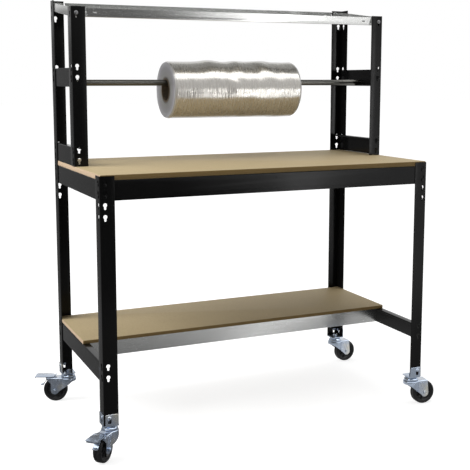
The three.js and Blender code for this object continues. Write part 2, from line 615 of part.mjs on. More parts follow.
// Foot plate behind the fork's roof, with a turned-down end, a release tab on its front end and two cheeks
// that hold the pivot pin.
function pedalGeometry() {
  const { start, end, width, sheet, z, cheekY } = PEDAL;
  const edge = width / 2;
  const plan = new THREE.Shape();
  plan.moveTo(start, -edge + 8);
  plan.lineTo(start + 14, -edge);
  plan.lineTo(end - 5, -edge);
  plan.absarc(end - 5, -edge + 5, 5, -Math.PI / 2, 0);
  plan.absarc(end - 5, edge - 5, 5, 0, Math.PI / 2);
  plan.lineTo(start + 14, edge);
  plan.lineTo(start, edge - 8);
  const plate = extruded(plan, sheet, 2).translate(0, 0, z - sheet / 2);
  const lip = box([end - sheet, 5 - edge, z - 5.5], [end, edge - 5, z]);
  const tab = acrossY(outline([
    [start, z], [start + 5, z - sheet / 2], [start + 2.6, z + sheet / 2], [start - 5, z + 6],
    [start - 7, z + 5],
  ]), -9, 9);
  const cheekSide = outline([
    [PIVOT.x - 5, PIVOT.z + 1], [PIVOT.x - 3, PIVOT.z - 4.5], [PIVOT.x + 4, PIVOT.z - 4.5],
    [PIVOT.x + 14, z], [PIVOT.x - 8, z],
  ]);
  const cheeks = [-1, 1].map((side) => acrossY(cheekSide, side * cheekY - 1.2, side * cheekY + 1.2));
  const hole = rod('y', PIVOT.radius + GAP, -20, 20, PIVOT.x, PIVOT.z, 8);
  return cut(joined([plate, lip, tab, ...cheeks]), [hole]);
}

// Strap under the pedal: a flat end against the plate, a bow that hugs the tyre, and an end turned outwards.
function brakeShoeGeometry() {
  const inner = WHEEL_RADIUS + 3.6;
  const thickness = 2;
  const front = TRAIL + 32;
  const rear = front + 17;
  const top = PEDAL.z - PEDAL.sheet / 2 - GAP;
  const toe = 11;
  const endAngle = THREE.MathUtils.degToRad(20);
  const startAngle = (x, radius) => Math.acos((x - TRAIL) / radius);
  const innerArc = arcPoints(TRAIL, WHEEL_RADIUS, inner, endAngle, startAngle(front, inner), 4);
  const outerFrom = startAngle(front + thickness, inner + thickness);
  const [endX, endZ] = innerArc[0];
  const profile = outline([
    [front, top], [rear, top], [rear, top - thickness], [front + thickness, top - thickness],
    ...arcPoints(TRAIL, WHEEL_RADIUS, inner + thickness, outerFrom, endAngle + 0.06, 4),
    [endX + toe, endZ + thickness], [endX + toe, endZ],
    ...innerArc,
  ]);
  return acrossY(profile, -9, 9);
}

function pivotPinGeometry() {
  const outside = FORK.legs + GAP;
  const profile = [
    [0, -outside - 1.6], [4, -outside - 1.6], [4, -outside], [PIVOT.radius, -outside],
    [PIVOT.radius, outside], [4, outside], [4, outside + 1.6], [0, outside + 1.6],
  ];
  return turned(profile, 8).rotateX(Math.PI / 2).translate(PIVOT.x, 0, PIVOT.z);
}

// Where each wheel trails to, in degrees from +x, and which casters have a brake.
const CASTERS = {
  front_left: { trail: 226, hasBrake: true },
  front_right: { trail: -5, hasBrake: false },
  rear_right: { trail: 1.5, hasBrake: false },
  rear_left: { trail: 155, hasBrake: true },
};

for (const corner of CORNERS) {
  const { trail, hasBrake } = CASTERS[corner.name];
  const name = `caster_${corner.name}`;
  atCorner(piece(`${name}_bracket`, bracketGeometry(), ZINC), corner);

  const caster = new THREE.Group();
  const inset = WIDTH / 2 - SWIVEL_INSET;
  caster.position.set(Math.sign(corner.x) * inset, Math.sign(corner.y) * (DEPTH / 2 - SWIVEL_INSET), 0);
  caster.rotation.z = THREE.MathUtils.degToRad(trail);
  bench.add(caster);

  piece(`${name}_swivel_head`, swivelHead(), ZINC, caster);
  piece(`${name}_fork`, forkGeometry(hasBrake), ZINC, caster);
  piece(`${name}_axle`, axleGeometry(), ZINC, caster);
  piece(`${name}_wheel`, wheelGeometry(), NYLON, caster);
  piece(`${name}_tyre`, tyreGeometry(), RUBBER, caster);
  if (hasBrake) {
    piece(`${name}_brake_pedal`, pedalGeometry(), ZINC, caster);
    piece(`${name}_brake_shoe`, brakeShoeGeometry(), ZINC, caster);
    piece(`${name}_brake_pin`, pivotPinGeometry(), ZINC, caster);
  }
}

// ---------- origin ----------

const bounds = new THREE.Box3().setFromObject(bench, true);
bench.position.set(-(bounds.min.x + bounds.max.x) / 2, -(bounds.min.y + bounds.max.y) / 2, -bounds.min.z);

export default bench;
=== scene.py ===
"""Mobile packing bench: black keyhole posts on casters, two boards, a tilted tray and a bar with a film roll.

Metres throughout, in the CAD frame: +X right, +Y rear, +Z up, the floor at z = 0.
"""
import json
import math

import bmesh
import bpy
from mathutils import Matrix, Vector, noise

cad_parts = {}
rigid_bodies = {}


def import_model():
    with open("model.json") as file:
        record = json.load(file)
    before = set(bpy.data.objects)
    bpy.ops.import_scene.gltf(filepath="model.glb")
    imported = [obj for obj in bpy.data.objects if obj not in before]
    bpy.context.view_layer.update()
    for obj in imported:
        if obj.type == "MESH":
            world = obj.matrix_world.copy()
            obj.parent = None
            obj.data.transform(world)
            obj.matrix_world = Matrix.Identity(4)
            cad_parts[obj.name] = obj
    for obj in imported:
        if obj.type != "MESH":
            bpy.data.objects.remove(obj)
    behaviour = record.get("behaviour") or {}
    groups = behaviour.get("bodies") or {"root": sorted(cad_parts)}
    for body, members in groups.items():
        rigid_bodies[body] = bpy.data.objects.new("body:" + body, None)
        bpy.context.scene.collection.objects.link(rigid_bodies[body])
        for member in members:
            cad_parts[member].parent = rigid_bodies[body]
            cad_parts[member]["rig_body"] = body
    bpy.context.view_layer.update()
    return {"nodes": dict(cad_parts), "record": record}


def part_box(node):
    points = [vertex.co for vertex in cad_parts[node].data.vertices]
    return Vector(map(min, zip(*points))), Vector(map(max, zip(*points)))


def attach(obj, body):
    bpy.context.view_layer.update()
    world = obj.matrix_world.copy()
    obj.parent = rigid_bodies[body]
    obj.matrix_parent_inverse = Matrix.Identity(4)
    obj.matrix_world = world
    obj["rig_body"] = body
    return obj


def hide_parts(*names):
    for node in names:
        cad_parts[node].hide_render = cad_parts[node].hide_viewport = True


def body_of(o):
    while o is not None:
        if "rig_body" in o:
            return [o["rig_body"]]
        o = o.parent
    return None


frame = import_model()

MM = 0.001

# ---- camera ----

CAMERA_PLACE = (-1.321, -2.9436, 1.2)
CAMERA_YAW = math.radians(24.028)    # from +Y towards +X
CAMERA_PITCH = math.radians(7.583)   # below the horizon
CAMERA_LENS = 68.58                  # mm, on a 36 mm sensor
CAMERA_SHIFT_Y = -0.075


def add_object(name, data, collection=bpy.context.scene.collection):
    obj = bpy.data.objects.new(name, data)
    collection.objects.link(obj)
    return obj


camera = add_object("camera", bpy.data.cameras.new("camera"))
camera.location = CAMERA_PLACE
camera.rotation_euler = (math.pi / 2 - CAMERA_PITCH, 0, -CAMERA_YAW)
camera.data.sensor_width = 36
camera.data.lens = CAMERA_LENS
camera.data.shift_y = CAMERA_SHIFT_Y
bpy.context.scene.camera = camera
bpy.context.scene.view_settings.view_transform = "Standard"


# ---- node helpers ----

class Nodes:
    """A node tree under construction. Values that are sockets are linked, others are set."""

    def __init__(self, tree, material=None):
        self.tree, self.material = tree, material
        tree.nodes.clear()

    def add(self, kind, inputs=(), **settings):
        node = self.tree.nodes.new(kind)
        for key, value in settings.items():
            setattr(node, key, value)
        for key, value in dict(inputs).items():
            if isinstance(value, bpy.types.NodeSocket):
                self.tree.links.new(value, node.inputs[key])
            else:
                node.inputs[key].default_value = value
        return node

    def math(self, operation, a, b=0.0):
        return self.add("ShaderNodeMath", {0: a, 1: b}, operation=operation).outputs[0]

    def ramp(self, value, *stops):
        """A colour ramp; each stop is (position, colour or grey level)."""
        node = self.add("ShaderNodeValToRGB", {0: value})
        elements = node.color_ramp.elements
        while len(elements) < len(stops):
            elements.new(0.5)
        for element, (position, colour) in zip(elements, stops):
            element.position = position
            grey = isinstance(colour, (int, float))
            element.color = (colour, colour, colour, 1) if grey else (*colour, 1)
        return node.outputs[0]

    def spread(self, value, low, high, start=0.0, end=1.0):
        """A value that goes from low to high while the input goes from start to end."""
        return self.add("ShaderNodeMapRange", {0: value, 1: start, 2: end, 3: low, 4: high}).outputs[0]

    def mix(self, factor, a, b):
        """A mix of two colours; plain tuples are (red, green, blue)."""
        colours = [(*colour, 1) if isinstance(colour, tuple) else colour for colour in (a, b)]
        node = self.add("ShaderNodeMix", {0: factor, 6: colours[0], 7: colours[1]}, data_type="RGBA")
        return node.outputs[2]

    def axes(self, vector):
        return self.add("ShaderNodeSeparateXYZ", {0: vector}).outputs

    def place(self, scale=(1, 1, 1)):
        """The piece's own coordinates in metres, stretched by scale."""
        coordinates = self.add("ShaderNodeTexCoord").outputs["Object"]
        return self.add("ShaderNodeMapping", {"Vector": coordinates, "Scale": scale}).outputs[0]

    def noise(self, scale, detail, roughness=0.5, stretch=(1, 1, 1), vector=None):
        """Noise over the vector, or over the piece's own coordinates stretched."""
        inputs = {"Vector": self.place(stretch) if vector is None else vector, "Scale": scale}
        inputs.update(Detail=detail, Roughness=roughness)
        return self.add("ShaderNodeTexNoise", inputs).outputs[0]

    def bump(self, height, strength, distance):
        inputs = {"Height": height, "Strength": strength, "Distance": distance}
        return self.add("ShaderNodeBump", inputs).outputs[0]

    def finish(self, **inputs):
        """The material, with a Principled shader whose named inputs are set or linked."""
        named = {key.replace("_", " "): value for key, value in inputs.items()}
        shader = self.add("ShaderNodeBsdfPrincipled", named)
        self.add("ShaderNodeOutputMaterial", {"Surface": shader.outputs[0]})
        return self.material


def new_material(name):
    material = bpy.data.materials.new(name)
    material.use_nodes = True
    return Nodes(material.node_tree, material)


# ---- stage ----

FLOOR_SIZE = 80               # m
FLOOR_ALBEDO = 0.5
FLOOR_GLOW = (0.76, 0.85)     # to the camera, from GLOW_NEAR to GLOW_FAR metres away
GLOW_NEAR, GLOW_FAR = 1.0, 5.0

# The studio is given by its brightness over the turn from the rear (0) by the left (0.25), the front (0.5)
# and the right (0.75) to the rear again. AMBIENT is what reaches matt surfaces: the front is in the shade.
AMBIENT = ((0.0, 0.6), (0.25, 0.75), (0.4, 0.35), (0.5, 0.22), (0.6, 0.22), (0.75, 0.5), (1.0, 0.6))
# What metal and film see: the floor by the bench, the floor farther out, the horizon, the walls above it.
NEAR_FLOOR = ((0.0, 0.35), (0.12, 0.2), (0.3, 0.15), (0.46, 0.28), (0.5, 0.35), (0.552, 0.48), (0.575, 0.75),
              (0.593, 1.05), (0.612, 0.8), (0.63, 0.58), (0.65, 0.45), (0.75, 0.8), (1.0, 0.5))
DIM_LEFT = ((0.0, 0.5), (0.035, 0.18), (0.12, 0.14), (0.3, 0.1), (0.539, 0.1))
FAR_FLOOR = (*DIM_LEFT, (0.5496, 0.12), (0.5605, 0.12), (0.566, 0.15), (0.5745, 0.18), (0.5768, 0.4),
             (0.578, 10.0), (0.5793, 0.6), (0.583, 0.5), (0.588, 1.1), (0.62, 1.2), (0.75, 0.9), (1.0, 0.9))
HORIZON = (*DIM_LEFT, (0.5496, 0.15), (0.5535, 0.28), (0.556, 0.45), (0.558, 0.8), (0.5605, 1.4),
           (0.5664, 1.6), (0.5745, 1.6), (0.5785, 11.0), (0.5825, 1.4), (0.62, 1.3), (0.75, 0.9), (1.0, 0.9))
WALLS = ((0.0, 0.9), (0.04, 0.6), (0.1, 0.4), (0.3, 0.3), (0.5, 0.4), (0.55, 0.62), (0.57, 0.7), (0.65, 0.7),
         (0.75, 0.95), (1.0, 0.9))
# Metres from the bench over which NEAR_FLOOR turns into FAR_FLOOR, and where the far floor looks like HORIZON
# by tenths of the distance: the front beam mirrors the ring in between, the tray and the film the rest.
NEAR_FLOOR_END, FAR_FLOOR_START = 1.8, 3.0
LIKE_HORIZON = ((0.44, 1), (0.5, 0), (0.7, 0), (0.77, 1))
# The horizon gives way to the walls between these heights (0.5 is level, 1 straight up).
ABOVE_HORIZON = ((0.52, 0), (0.535, 1))
# A strip softbox overhead, by angle from the front horizon (0) over the top (0.5) to the rear horizon (1).
SOFTBOX = ((0.25, 0), (0.27, 1), (0.47, 1), (0.5, 0))
SOFTBOX_LEVEL = 2.6


def studio_turn(nodes, axes):
    """How far round the bench a direction or a place lies, from 0 to 1."""
    angle = nodes.math("ARCTAN2", axes["X"], nodes.math("MULTIPLY", axes["Y"], -1))
    return nodes.math("ADD", nodes.math("DIVIDE", angle, 2 * math.pi), 0.5)


def seen_by_metal(nodes, path):
    return nodes.math("MAXIMUM", path.outputs["Is Glossy Ray"], path.outputs["Is Transmission Ray"])


def build_floor():
    """Pale floor: white with the object's shadow to the camera, part of the studio to metal and film."""
    mesh = bpy.data.meshes.new("floor")
    half = FLOOR_SIZE / 2
    corners = [(-half, -half, 0), (half, -half, 0), (half, half, 0), (-half, half, 0)]
    mesh.from_pydata(corners, [], [(0, 1, 2, 3)])
    floor = add_object("floor", mesh)
    nodes = new_material("floor")
    diffuse = nodes.add("ShaderNodeBsdfDiffuse", {"Color": (*[FLOOR_ALBEDO] * 3, 1)})
    path = nodes.add("ShaderNodeLightPath")
    place = nodes.add("ShaderNodeTexCoord").outputs["Object"]
    distance = nodes.add("ShaderNodeVectorMath", {0: place}, operation="LENGTH").outputs["Value"]
    turn = studio_turn(nodes, nodes.axes(place))
    away = nodes.spread(distance, 0, 1, NEAR_FLOOR_END, FAR_FLOOR_START)
    ring = nodes.ramp(nodes.math("MULTIPLY", distance, 0.1), *LIKE_HORIZON)
    studio = nodes.mix(away, nodes.ramp(turn, *NEAR_FLOOR), nodes.ramp(turn, *FAR_FLOOR))
    studio = nodes.mix(nodes.math("MULTIPLY", away, ring), studio, nodes.ramp(turn, *HORIZON))
    white = nodes.spread(distance, *FLOOR_GLOW, GLOW_NEAR, GLOW_FAR)
    white = nodes.math("MULTIPLY", path.outputs["Is Camera Ray"], white)
    to_metal = seen_by_metal(nodes, path)
    reflected = nodes.math("MULTIPLY", to_metal, studio)
    glow = nodes.add("ShaderNodeEmission", {"Strength": nodes.math("ADD", white, reflected)}).outputs[0]
    both = nodes.add("ShaderNodeAddShader", {0: diffuse.outputs[0], 1: glow}).outputs[0]
    # metal sees the studio's brightness alone, without the lamps' light on the floor
    surface = nodes.add("ShaderNodeMixShader", {0: to_metal, 1: both, 2: glow})
    nodes.add("ShaderNodeOutputMaterial", {"Surface": surface.outputs[0]})
    mesh.materials.append(nodes.material)


def build_world():
    """White to the camera, soft light to matt surfaces, and the studio to metal and film."""
    world = bpy.data.worlds.new("studio")
    bpy.context.scene.world = world
    world.use_nodes = True
    nodes = Nodes(world.node_tree)
    path = nodes.add("ShaderNodeLightPath")
    direction = nodes.add("ShaderNodeTexCoord").outputs["Generated"]
    axes = nodes.axes(direction)
    turn = studio_turn(nodes, axes)
    height = nodes.math("ADD", nodes.math("MULTIPLY", axes["Z"], 0.5), 0.5)
    above = nodes.ramp(height, *ABOVE_HORIZON)
    studio = nodes.mix(above, nodes.ramp(turn, *HORIZON), nodes.ramp(turn, *WALLS))
    over = nodes.math("ARCTAN2", axes["Z"], nodes.math("MULTIPLY", axes["Y"], -1))
    softbox = nodes.ramp(nodes.math("DIVIDE", over, math.pi), *SOFTBOX)
    studio = nodes.mix(softbox, studio, (SOFTBOX_LEVEL,) * 3)
    seen = nodes.mix(seen_by_metal(nodes, path), nodes.ramp(turn, *AMBIENT), studio)
    seen = nodes.mix(path.outputs["Is Camera Ray"], seen, (1, 1, 1))
    background = nodes.add("ShaderNodeBackground", {"Color": seen})
    nodes.add("ShaderNodeOutputWorld", {"Surface": background.outputs[0]})


def area_light(name, place, target, size, watts):
    """A soft lamp at place, pointing at target; metal doesn't show it."""
    light = bpy.data.lights.new(name, "AREA")
    light.shape = "RECTANGLE"
    light.size, light.size_y = size
    light.energy = watts
    lamp = add_object(name, light)
    lamp.location = place
    lamp.visible_glossy = False
    lamp.rotation_euler = (Vector(target) - Vector(place)).to_track_quat("-Z", "Y").to_euler()


build_floor()
build_world()
area_light("key", (-2.9, 0.1, 2.9), (0, 0, 0.8), (2.2, 2.2), 80)
area_light("left_fill", (-3.4, 1.2, 1.4), (0, 0, 0.8), (1.6, 2.2), 42)
area_light("top_fill", (0.6, -0.6, 3.6), (0, 0, 0.9), (2.6, 1.6), 35)


# ---- materials ----

ROLL_HALF = 254             # mm, half the length of the wound film
END_FACE_DEPTH = 1.6        # mm from the ends that still count as the end face
CLEARING = 0.001, 0.009     # metres from the ends over which the cloudy film clears up

MATERIALS = {}


def coat(name, tone, colours, roughness, bump, grain=None, **inputs):
    """A material whose colour and roughness follow the noise tone, and its bumps the noise grain or tone.

    tone and grain are what Nodes.noise takes; bump is its strength and its distance in metres.
    """
    nodes = new_material(name)
    cloud = nodes.noise(*tone)
    bumps = nodes.noise(*grain) if grain else cloud
    if isinstance(roughness, tuple):
        roughness = nodes.spread(cloud, *roughness)
    MATERIALS[name] = nodes.finish(Base_Color=nodes.ramp(cloud, *colours), Roughness=roughness,
                                   Normal=nodes.bump(bumps, *bump), **inputs)


def galvanised(name, dull, bright, metallic=1.0):
    """Zinc-coated sheet; its roughness goes from dull to bright as the coating gets paler."""
    nodes = new_material(name)
    streaks = nodes.noise(6, 5, 0.6, (1.5, 60, 60))
    spangle = nodes.add("ShaderNodeTexVoronoi", {"Vector": nodes.place(), "Scale": 90}).outputs["Color"]
    tone = nodes.math("ADD", nodes.math("MULTIPLY", streaks, 0.85), nodes.math("MULTIPLY", spangle, 0.15))
    return nodes.finish(
        Base_Color=nodes.ramp(tone, (0.25, (0.56, 0.565, 0.55)), (0.75, (0.68, 0.685, 0.68))),
        Metallic=metallic,
        Roughness=nodes.spread(tone, dull, bright),
        Normal=nodes.bump(streaks, 0.02, 0.0003))


def zinc_plate():
    """Blue passivated zinc, a little yellower in places."""
    nodes = new_material("zinc_plate")
    tint = nodes.noise(15, 2, 0.4)
    return nodes.finish(
        Base_Color=nodes.ramp(tint, (0.38, (0.44, 0.51, 0.62)), (0.5, (0.57, 0.63, 0.73)),
                              (0.64, (0.73, 0.72, 0.66))),
        Metallic=0.88,
        Roughness=nodes.spread(nodes.noise(45, 3), 0.14, 0.26),
        Normal=nodes.bump(nodes.noise(900, 3), 0.03, 0.0001))


def fibreboard():
    nodes = new_material("fibreboard")
    fibres = nodes.noise(260, 6, 0.7, (1, 2.2, 1))
    cloud = nodes.noise(3.5, 4, 0.6, (1, 2.5, 1))
    specks = nodes.noise(520, 2)
    face = nodes.mix(cloud, (0.43, 0.348, 0.2), (0.51, 0.41, 0.236))
    face = nodes.mix(nodes.ramp(fibres, (0.35, 1), (0.6, 0)), face, (0.37, 0.285, 0.165))
    face = nodes.mix(nodes.ramp(specks, (0.27, 1), (0.31, 0)), face, (0.2, 0.14, 0.075))
    normal = nodes.axes(nodes.add("ShaderNodeNewGeometry").outputs["Normal"])
    upright = nodes.math("ABSOLUTE", normal["Z"])
    # painted light and shade: the long front and rear edges are painted dark brown as if in shade, the short
    # side edges paler as if lit from the left
    painted_shade_edge = nodes.mix(fibres, (0.175, 0.114, 0.041), (0.247, 0.165, 0.061))
    painted_light_edge = nodes.mix(fibres, (0.43, 0.315, 0.21), (0.53, 0.395, 0.27))
    sideways = nodes.math("GREATER_THAN", nodes.math("ABSOLUTE", normal["X"]), 0.7)
    # edges facing left or right take the painted light, the others the painted shade
    edge = nodes.mix(sideways, painted_shade_edge, painted_light_edge)
    return nodes.finish(
        Base_Color=nodes.mix(nodes.ramp(upright, (0.4, 0), (0.7, 1)), edge, face),
        Roughness=0.62,
        Specular_IOR_Level=0.3,
        Normal=nodes.bump(fibres, 0.25, 0.0004))


def clear_film():
    """Many thin clear layers: a mirror-like skin over a pale grey depth; the wound ends look milky."""
    nodes = new_material("clear_film")
    along = nodes.math("ABSOLUTE", nodes.axes(nodes.place())["X"])
    from_axis = nodes.add("ShaderNodeVectorMath", {0: nodes.place((0, 1, 1))}, operation="LENGTH")
    across = from_axis.outputs["Value"]
    at_end = nodes.math("GREATER_THAN", along, (ROLL_HALF - END_FACE_DEPTH) * MM)
    wraps = nodes.noise(10, 4, 0.6, (60, 1, 1))
    patches = nodes.noise(9, 3, 0.5, (1.5, 1, 1))
    body = nodes.ramp(wraps, (0.3, (0.53, 0.51, 0.465)), (0.7, (0.66, 0.64, 0.605)))
    rings = nodes.noise(260, 3, 0.6, vector=nodes.add("ShaderNodeCombineXYZ", {0: across}).outputs[0])
    # the end face, from the core (about 0.4) to the outermost wrap (about 0.95), with uneven rings
    from_core = nodes.math("ADD", nodes.math("MULTIPLY", across, 8.5), nodes.math("MULTIPLY", rings, 0.12))
    milky = nodes.ramp(from_core, (0.42, (0.1, 0.085, 0.07)), (0.5, (0.26, 0.258, 0.248)),
                       (0.75, (0.31, 0.305, 0.322)), (0.93, (0.48, 0.48, 0.5)))
    clear = nodes.spread(nodes.math("SUBTRACT", ROLL_HALF * MM, along), 0, 1, *CLEARING)
    body = nodes.mix(clear, (0.6, 0.595, 0.585), body)
    ripples = nodes.noise(230, 4, 0.6, (1, 0.12, 0.12))
    # loose layers look frosted in narrow stripes round the roll
    frost = nodes.ramp(nodes.noise(130, 5, 0.65, (1, 0.16, 0.16)), (0.42, 0), (0.62, 1))
    body = nodes.mix(nodes.math("MULTIPLY", frost, 0.4), body, (0.72, 0.7, 0.665))
    creases = nodes.math("ADD", nodes.math("MULTIPLY", ripples, 0.5), patches)
    mirror = nodes.math("SUBTRACT", 0.78, nodes.math("MULTIPLY", frost, 0.14))
    return nodes.finish(
        Base_Color=nodes.mix(at_end, body, milky),
        Metallic=nodes.math("MULTIPLY", clear, mirror),
        Roughness=nodes.spread(patches, 0.14, 0.3),
        Coat_Weight=0.6,
        Coat_Roughness=0.05,
        Normal=nodes.bump(creases, 0.11, 0.0015))


coat("black_paint", (7, 3), ((0.3, (0.0048, 0.0048, 0.0049)), (0.7, (0.0064, 0.0064, 0.0065))),
     (0.12, 0.19), (0.06, 0.0001), (900, 3), Specular_IOR_Level=0.15)
coat("dull_zinc", (300, 4, 0.6), ((0.3, (0.16, 0.16, 0.165)), (0.7, (0.27, 0.27, 0.275))),
     (0.4, 0.55), (0.05, 0.0002), Metallic=0.8)
coat("bar_steel", (9, 4, 0.6, (1, 90, 90)), ((0.3, (0.11, 0.11, 0.1)), (0.7, (0.19, 0.185, 0.17))),
     (0.3, 0.42), (0.05, 0.0003), Metallic=1.0)
coat("cardboard", (160, 6, 0.7, (1, 4, 4)), ((0.3, (0.085, 0.068, 0.048)), (0.7, (0.16, 0.125, 0.088))),
     0.85, (0.2, 0.0005), Specular_IOR_Level=0.2)
coat("tyre_rubber", (30, 4, 0.6), ((0.35, (0.008, 0.008, 0.009)), (0.8, (0.02, 0.02, 0.021))),
     (0.5, 0.66), (0.15, 0.0003), (700, 4), Specular_IOR_Level=0.35)
coat("nylon", (500, 3), ((0.3, (0.012, 0.012, 0.013)), (0.7, (0.018, 0.018, 0.02))),
     0.42, (0.08, 0.0002), Specular_IOR_Level=0.4)
MATERIALS.update({
    "galvanised": galvanised("galvanised", 0.3, 0.2),
    "tray_galvanised": galvanised("tray_galvanised", 0.16, 0.1, 0.85),
    "zinc": zinc_plate(),
    "fibreboard": fibreboard(),
    "film": clear_film(),
})


# ---- solids, in millimetres ----

WIDTH, DEPTH = 1210, 610      # over the four posts
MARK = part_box("post_front_left")[0]
# the middle of the four posts, on the floor, in metres
BENCH = Vector((MARK[0] + WIDTH / 2 * MM, MARK[1] + DEPTH / 2 * MM, 0))
GAP = 0.3                     # between neighbouring parts
CUT = 0.6                     # rounding of a sheet's cut edge
SEGMENTS = 32


def arc(x, y, radius, start, end, steps):
    """Points of an arc between two angles in degrees, ends included."""
    angles = [math.radians(start + (end - start) * i / steps) for i in range(steps + 1)]
    return [(x + radius * math.cos(a), y + radius * math.sin(a)) for a in angles]


def outline(corners):
    """A closed line through corners; a corner's third number is how much of each side its curve takes up."""
    steps = 4
    points = []
    for i, corner in enumerate(corners):
        place = Vector(corner[:2])
        if len(corner) == 2:
            points.append(tuple(place))
            continue
        before = (Vector(corners[i - 1][:2]) - place).normalized() * corner[2]
        after = (Vector(corners[(i + 1) % len(corners)][:2]) - place).normalized() * corner[2]
        for k in range(steps + 1):
            t = k / steps
            points.append(tuple(place + before * (1 - t) ** 2 + after * t ** 2))
    return points


def rectangle(x0, y0, x1, y1, radius):
    return [(x0, y0, radius), (x1, y0, radius), (x1, y1, radius), (x0, y1, radius)]


AXES = {"x": (2, 0, 1), "y": (0, 2, 1), "z": (0, 1, 2)}


def along_axis(values, axis, place=(0, 0, 0)):
    """(across, across, along) as x, y and z, for a solid along the axis."""
    return tuple(values[k] + shift for k, shift in zip(AXES[axis], place))


def outward(bm):
    """The solid with all its faces turned outward."""
    bmesh.ops.recalc_face_normals(bm, faces=bm.faces)
    return bm


def rounded(bm, edges, offset, segments):
    bmesh.ops.bevel(bm, geom=edges, offset=offset, segments=segments, profile=0.5, affect="EDGES",
                    clamp_overlap=True)


def bridge(bm, lower, upper):
    """A band of quads between two rings of vertices."""
    for k in range(len(lower)):
        j = (k + 1) % len(lower)
        bm.faces.new((lower[k], lower[j], upper[j], upper[k]))


def prism(corners, low, high, axis="z", rim=0, rim_steps=3):
    """An outline in the other two axes, stretched along an axis; rim rounds its edges at both ends."""
    bm = bmesh.new()
    points = outline(corners)
    ends = [[bm.verts.new(along_axis((*point, level), axis)) for point in points] for level in (low, high)]
    faces = [bm.faces.new(ring) for ring in ends]
    bridge(bm, *ends)
    outward(bm)
    if rim:
        rounded(bm, list({edge for face in faces for edge in face.edges}), rim, rim_steps)
    return bm


def block(low, high, rim=0):
    """A box between two corners."""
    points = [(low[0], low[1]), (high[0], low[1]), (high[0], high[1]), (low[0], high[1])]
    return prism(points, low[2], high[2], rim=rim)


def lathe(profile, segments=SEGMENTS, axis="z", place=(0, 0, 0)):
    """A profile of (radius, height) turned about an axis; a ring if neither end is on the axis."""
    bm = bmesh.new()
    rings = []
    for radius, height in profile:
        ring = []
        for i in range(segments if radius > 0 else 1):
            angle = 2 * math.pi * i / segments
            values = (radius * math.cos(angle), radius * math.sin(angle), height)
            ring.append(bm.verts.new(along_axis(values, axis, place)))
        rings.append(ring)
    pairs = list(zip(rings, rings[1:]))
    if profile[0][0] > 0 and profile[-1][0] > 0:
        pairs.append((rings[-1], rings[0]))
    for lower, upper in pairs:
        for i in range(segments):
            j = (i + 1) % segments
            corners = [lower[i % len(lower)], lower[j % len(lower)],
                       upper[j % len(upper)], upper[i % len(upper)]]
            corners = list(dict.fromkeys(corners))
            if len(corners) > 2:
                bm.faces.new(corners)
    return outward(bm)


def rod(axis, radius, low, high, place, segments=SEGMENTS, rim=0.0):
    profile = [(0, low), (radius, low), (radius, high), (0, high)]
    if rim:
        profile = [(0, low), (radius - rim, low), (radius, low + rim),
                   (radius, high - rim), (radius - rim, high), (0, high)]
    return lathe(profile, segments, axis, place)


def hexagon(axis, across, low, high, place, turn=0):
    """A hexagon head or nut with its corners turned down."""
    radius = across / math.sqrt(3)
    body = prism(arc(0, 0, radius, turn, turn + 300, 5), low, high)
    corner = 0.12 * across
    cone = lathe([(0, low - 0.01), (across / 2, low - 0.01), (radius + 0.1, low + corner),
                  (radius + 0.1, high - corner), (across / 2, high + 0.01), (0, high + 0.01)], 24)
    nut = boolean(body, [cone], "INTERSECT")
    for vert in nut.verts:
        vert.co = Vector(along_axis(vert.co, axis)) + Vector(place)
    return outward(nut)


def moved(bm, matrix):
    """The solid moved, and still the right way out if the matrix mirrors it."""
    bmesh.ops.transform(bm, matrix=matrix, verts=bm.verts)
    if matrix.determinant() < 0:
        bmesh.ops.reverse_faces(bm, faces=bm.faces)
    return bm


def mirrored(profile):
    """A profile of (radius, side) and its mirror image on the other side."""
    return [*profile, *((radius, -side) for radius, side in reversed(profile))]


def temporary(bm, collection):
    """An object for a boolean; the mesh under construction is used up."""
    mesh = bpy.data.meshes.new("temporary")
    bm.to_mesh(mesh)
    bm.free()
    return add_object("temporary", mesh, collection)


def boolean(base, tools, operation="DIFFERENCE"):
    """base cut by, joined to or kept inside the tools. All of them are used up."""
    if not tools:
        return base
    collection = bpy.data.collections.new("tools")
    body = temporary(base, bpy.context.scene.collection)
    parts = [temporary(tool, collection) for tool in tools]
    modifier = body.modifiers.new("boolean", "BOOLEAN")
    modifier.operation = operation
    modifier.solver = "EXACT"
    modifier.operand_type = "COLLECTION"
    modifier.collection = collection
    result = bmesh.new()
    result.from_object(body, bpy.context.evaluated_depsgraph_get())
    for obj in [body, *parts]:
        mesh = obj.data
        bpy.data.objects.remove(obj)
        bpy.data.meshes.remove(mesh)
    bpy.data.collections.remove(collection)
    return result


def joined(*parts):
    return boolean(parts[0], list(parts[1:]), "UNION")


SLOTS = {entry["node"]: entry["material_slot"] for entry in frame["record"]["subparts"]}
SHARP = math.radians(50)      # edges that bend more than this are eased
TINY = 0.0005                 # shorter edges are dissolved
EASE = 0.2                    # of the edges of bent sheet


def place_at(x=0.0, y=0.0, z=0.0, degrees=0.0):
    """A place in mm from the middle of the bench, turned about the vertical."""
    return Matrix.Translation(BENCH + Vector((x, y, z)) * MM) @ Matrix.Rotation(math.radians(degrees), 4, "Z")


def piece(node, bm, place, edge=0.0, smooth=35, finish=None):
    """Adds the piece that stands for a CAD node, with its sharp edges eased by edge mm."""
    if edge:
        sharp = [e for e in bm.edges if len(e.link_faces) == 2 and e.calc_face_angle(0) > SHARP]
        rounded(bm, sharp, edge, 1)
    bmesh.ops.dissolve_degenerate(bm, dist=TINY, edges=bm.edges)
    mesh = bpy.data.meshes.new(node + "_fine")
    moved(bm, Matrix.Scale(MM, 4))
    bm.to_mesh(mesh)
    bm.free()
    for polygon in mesh.polygons:
        polygon.use_smooth = True
    mesh.set_sharp_from_angle(angle=math.radians(smooth))
    obj = add_object(node + "_fine", mesh)
    obj.matrix_world = place
    mesh.materials.append(MATERIALS[finish or SLOTS[node]])
    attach(obj, body_of(frame["nodes"][node])[0])
    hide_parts(node)


# ---- posts ----

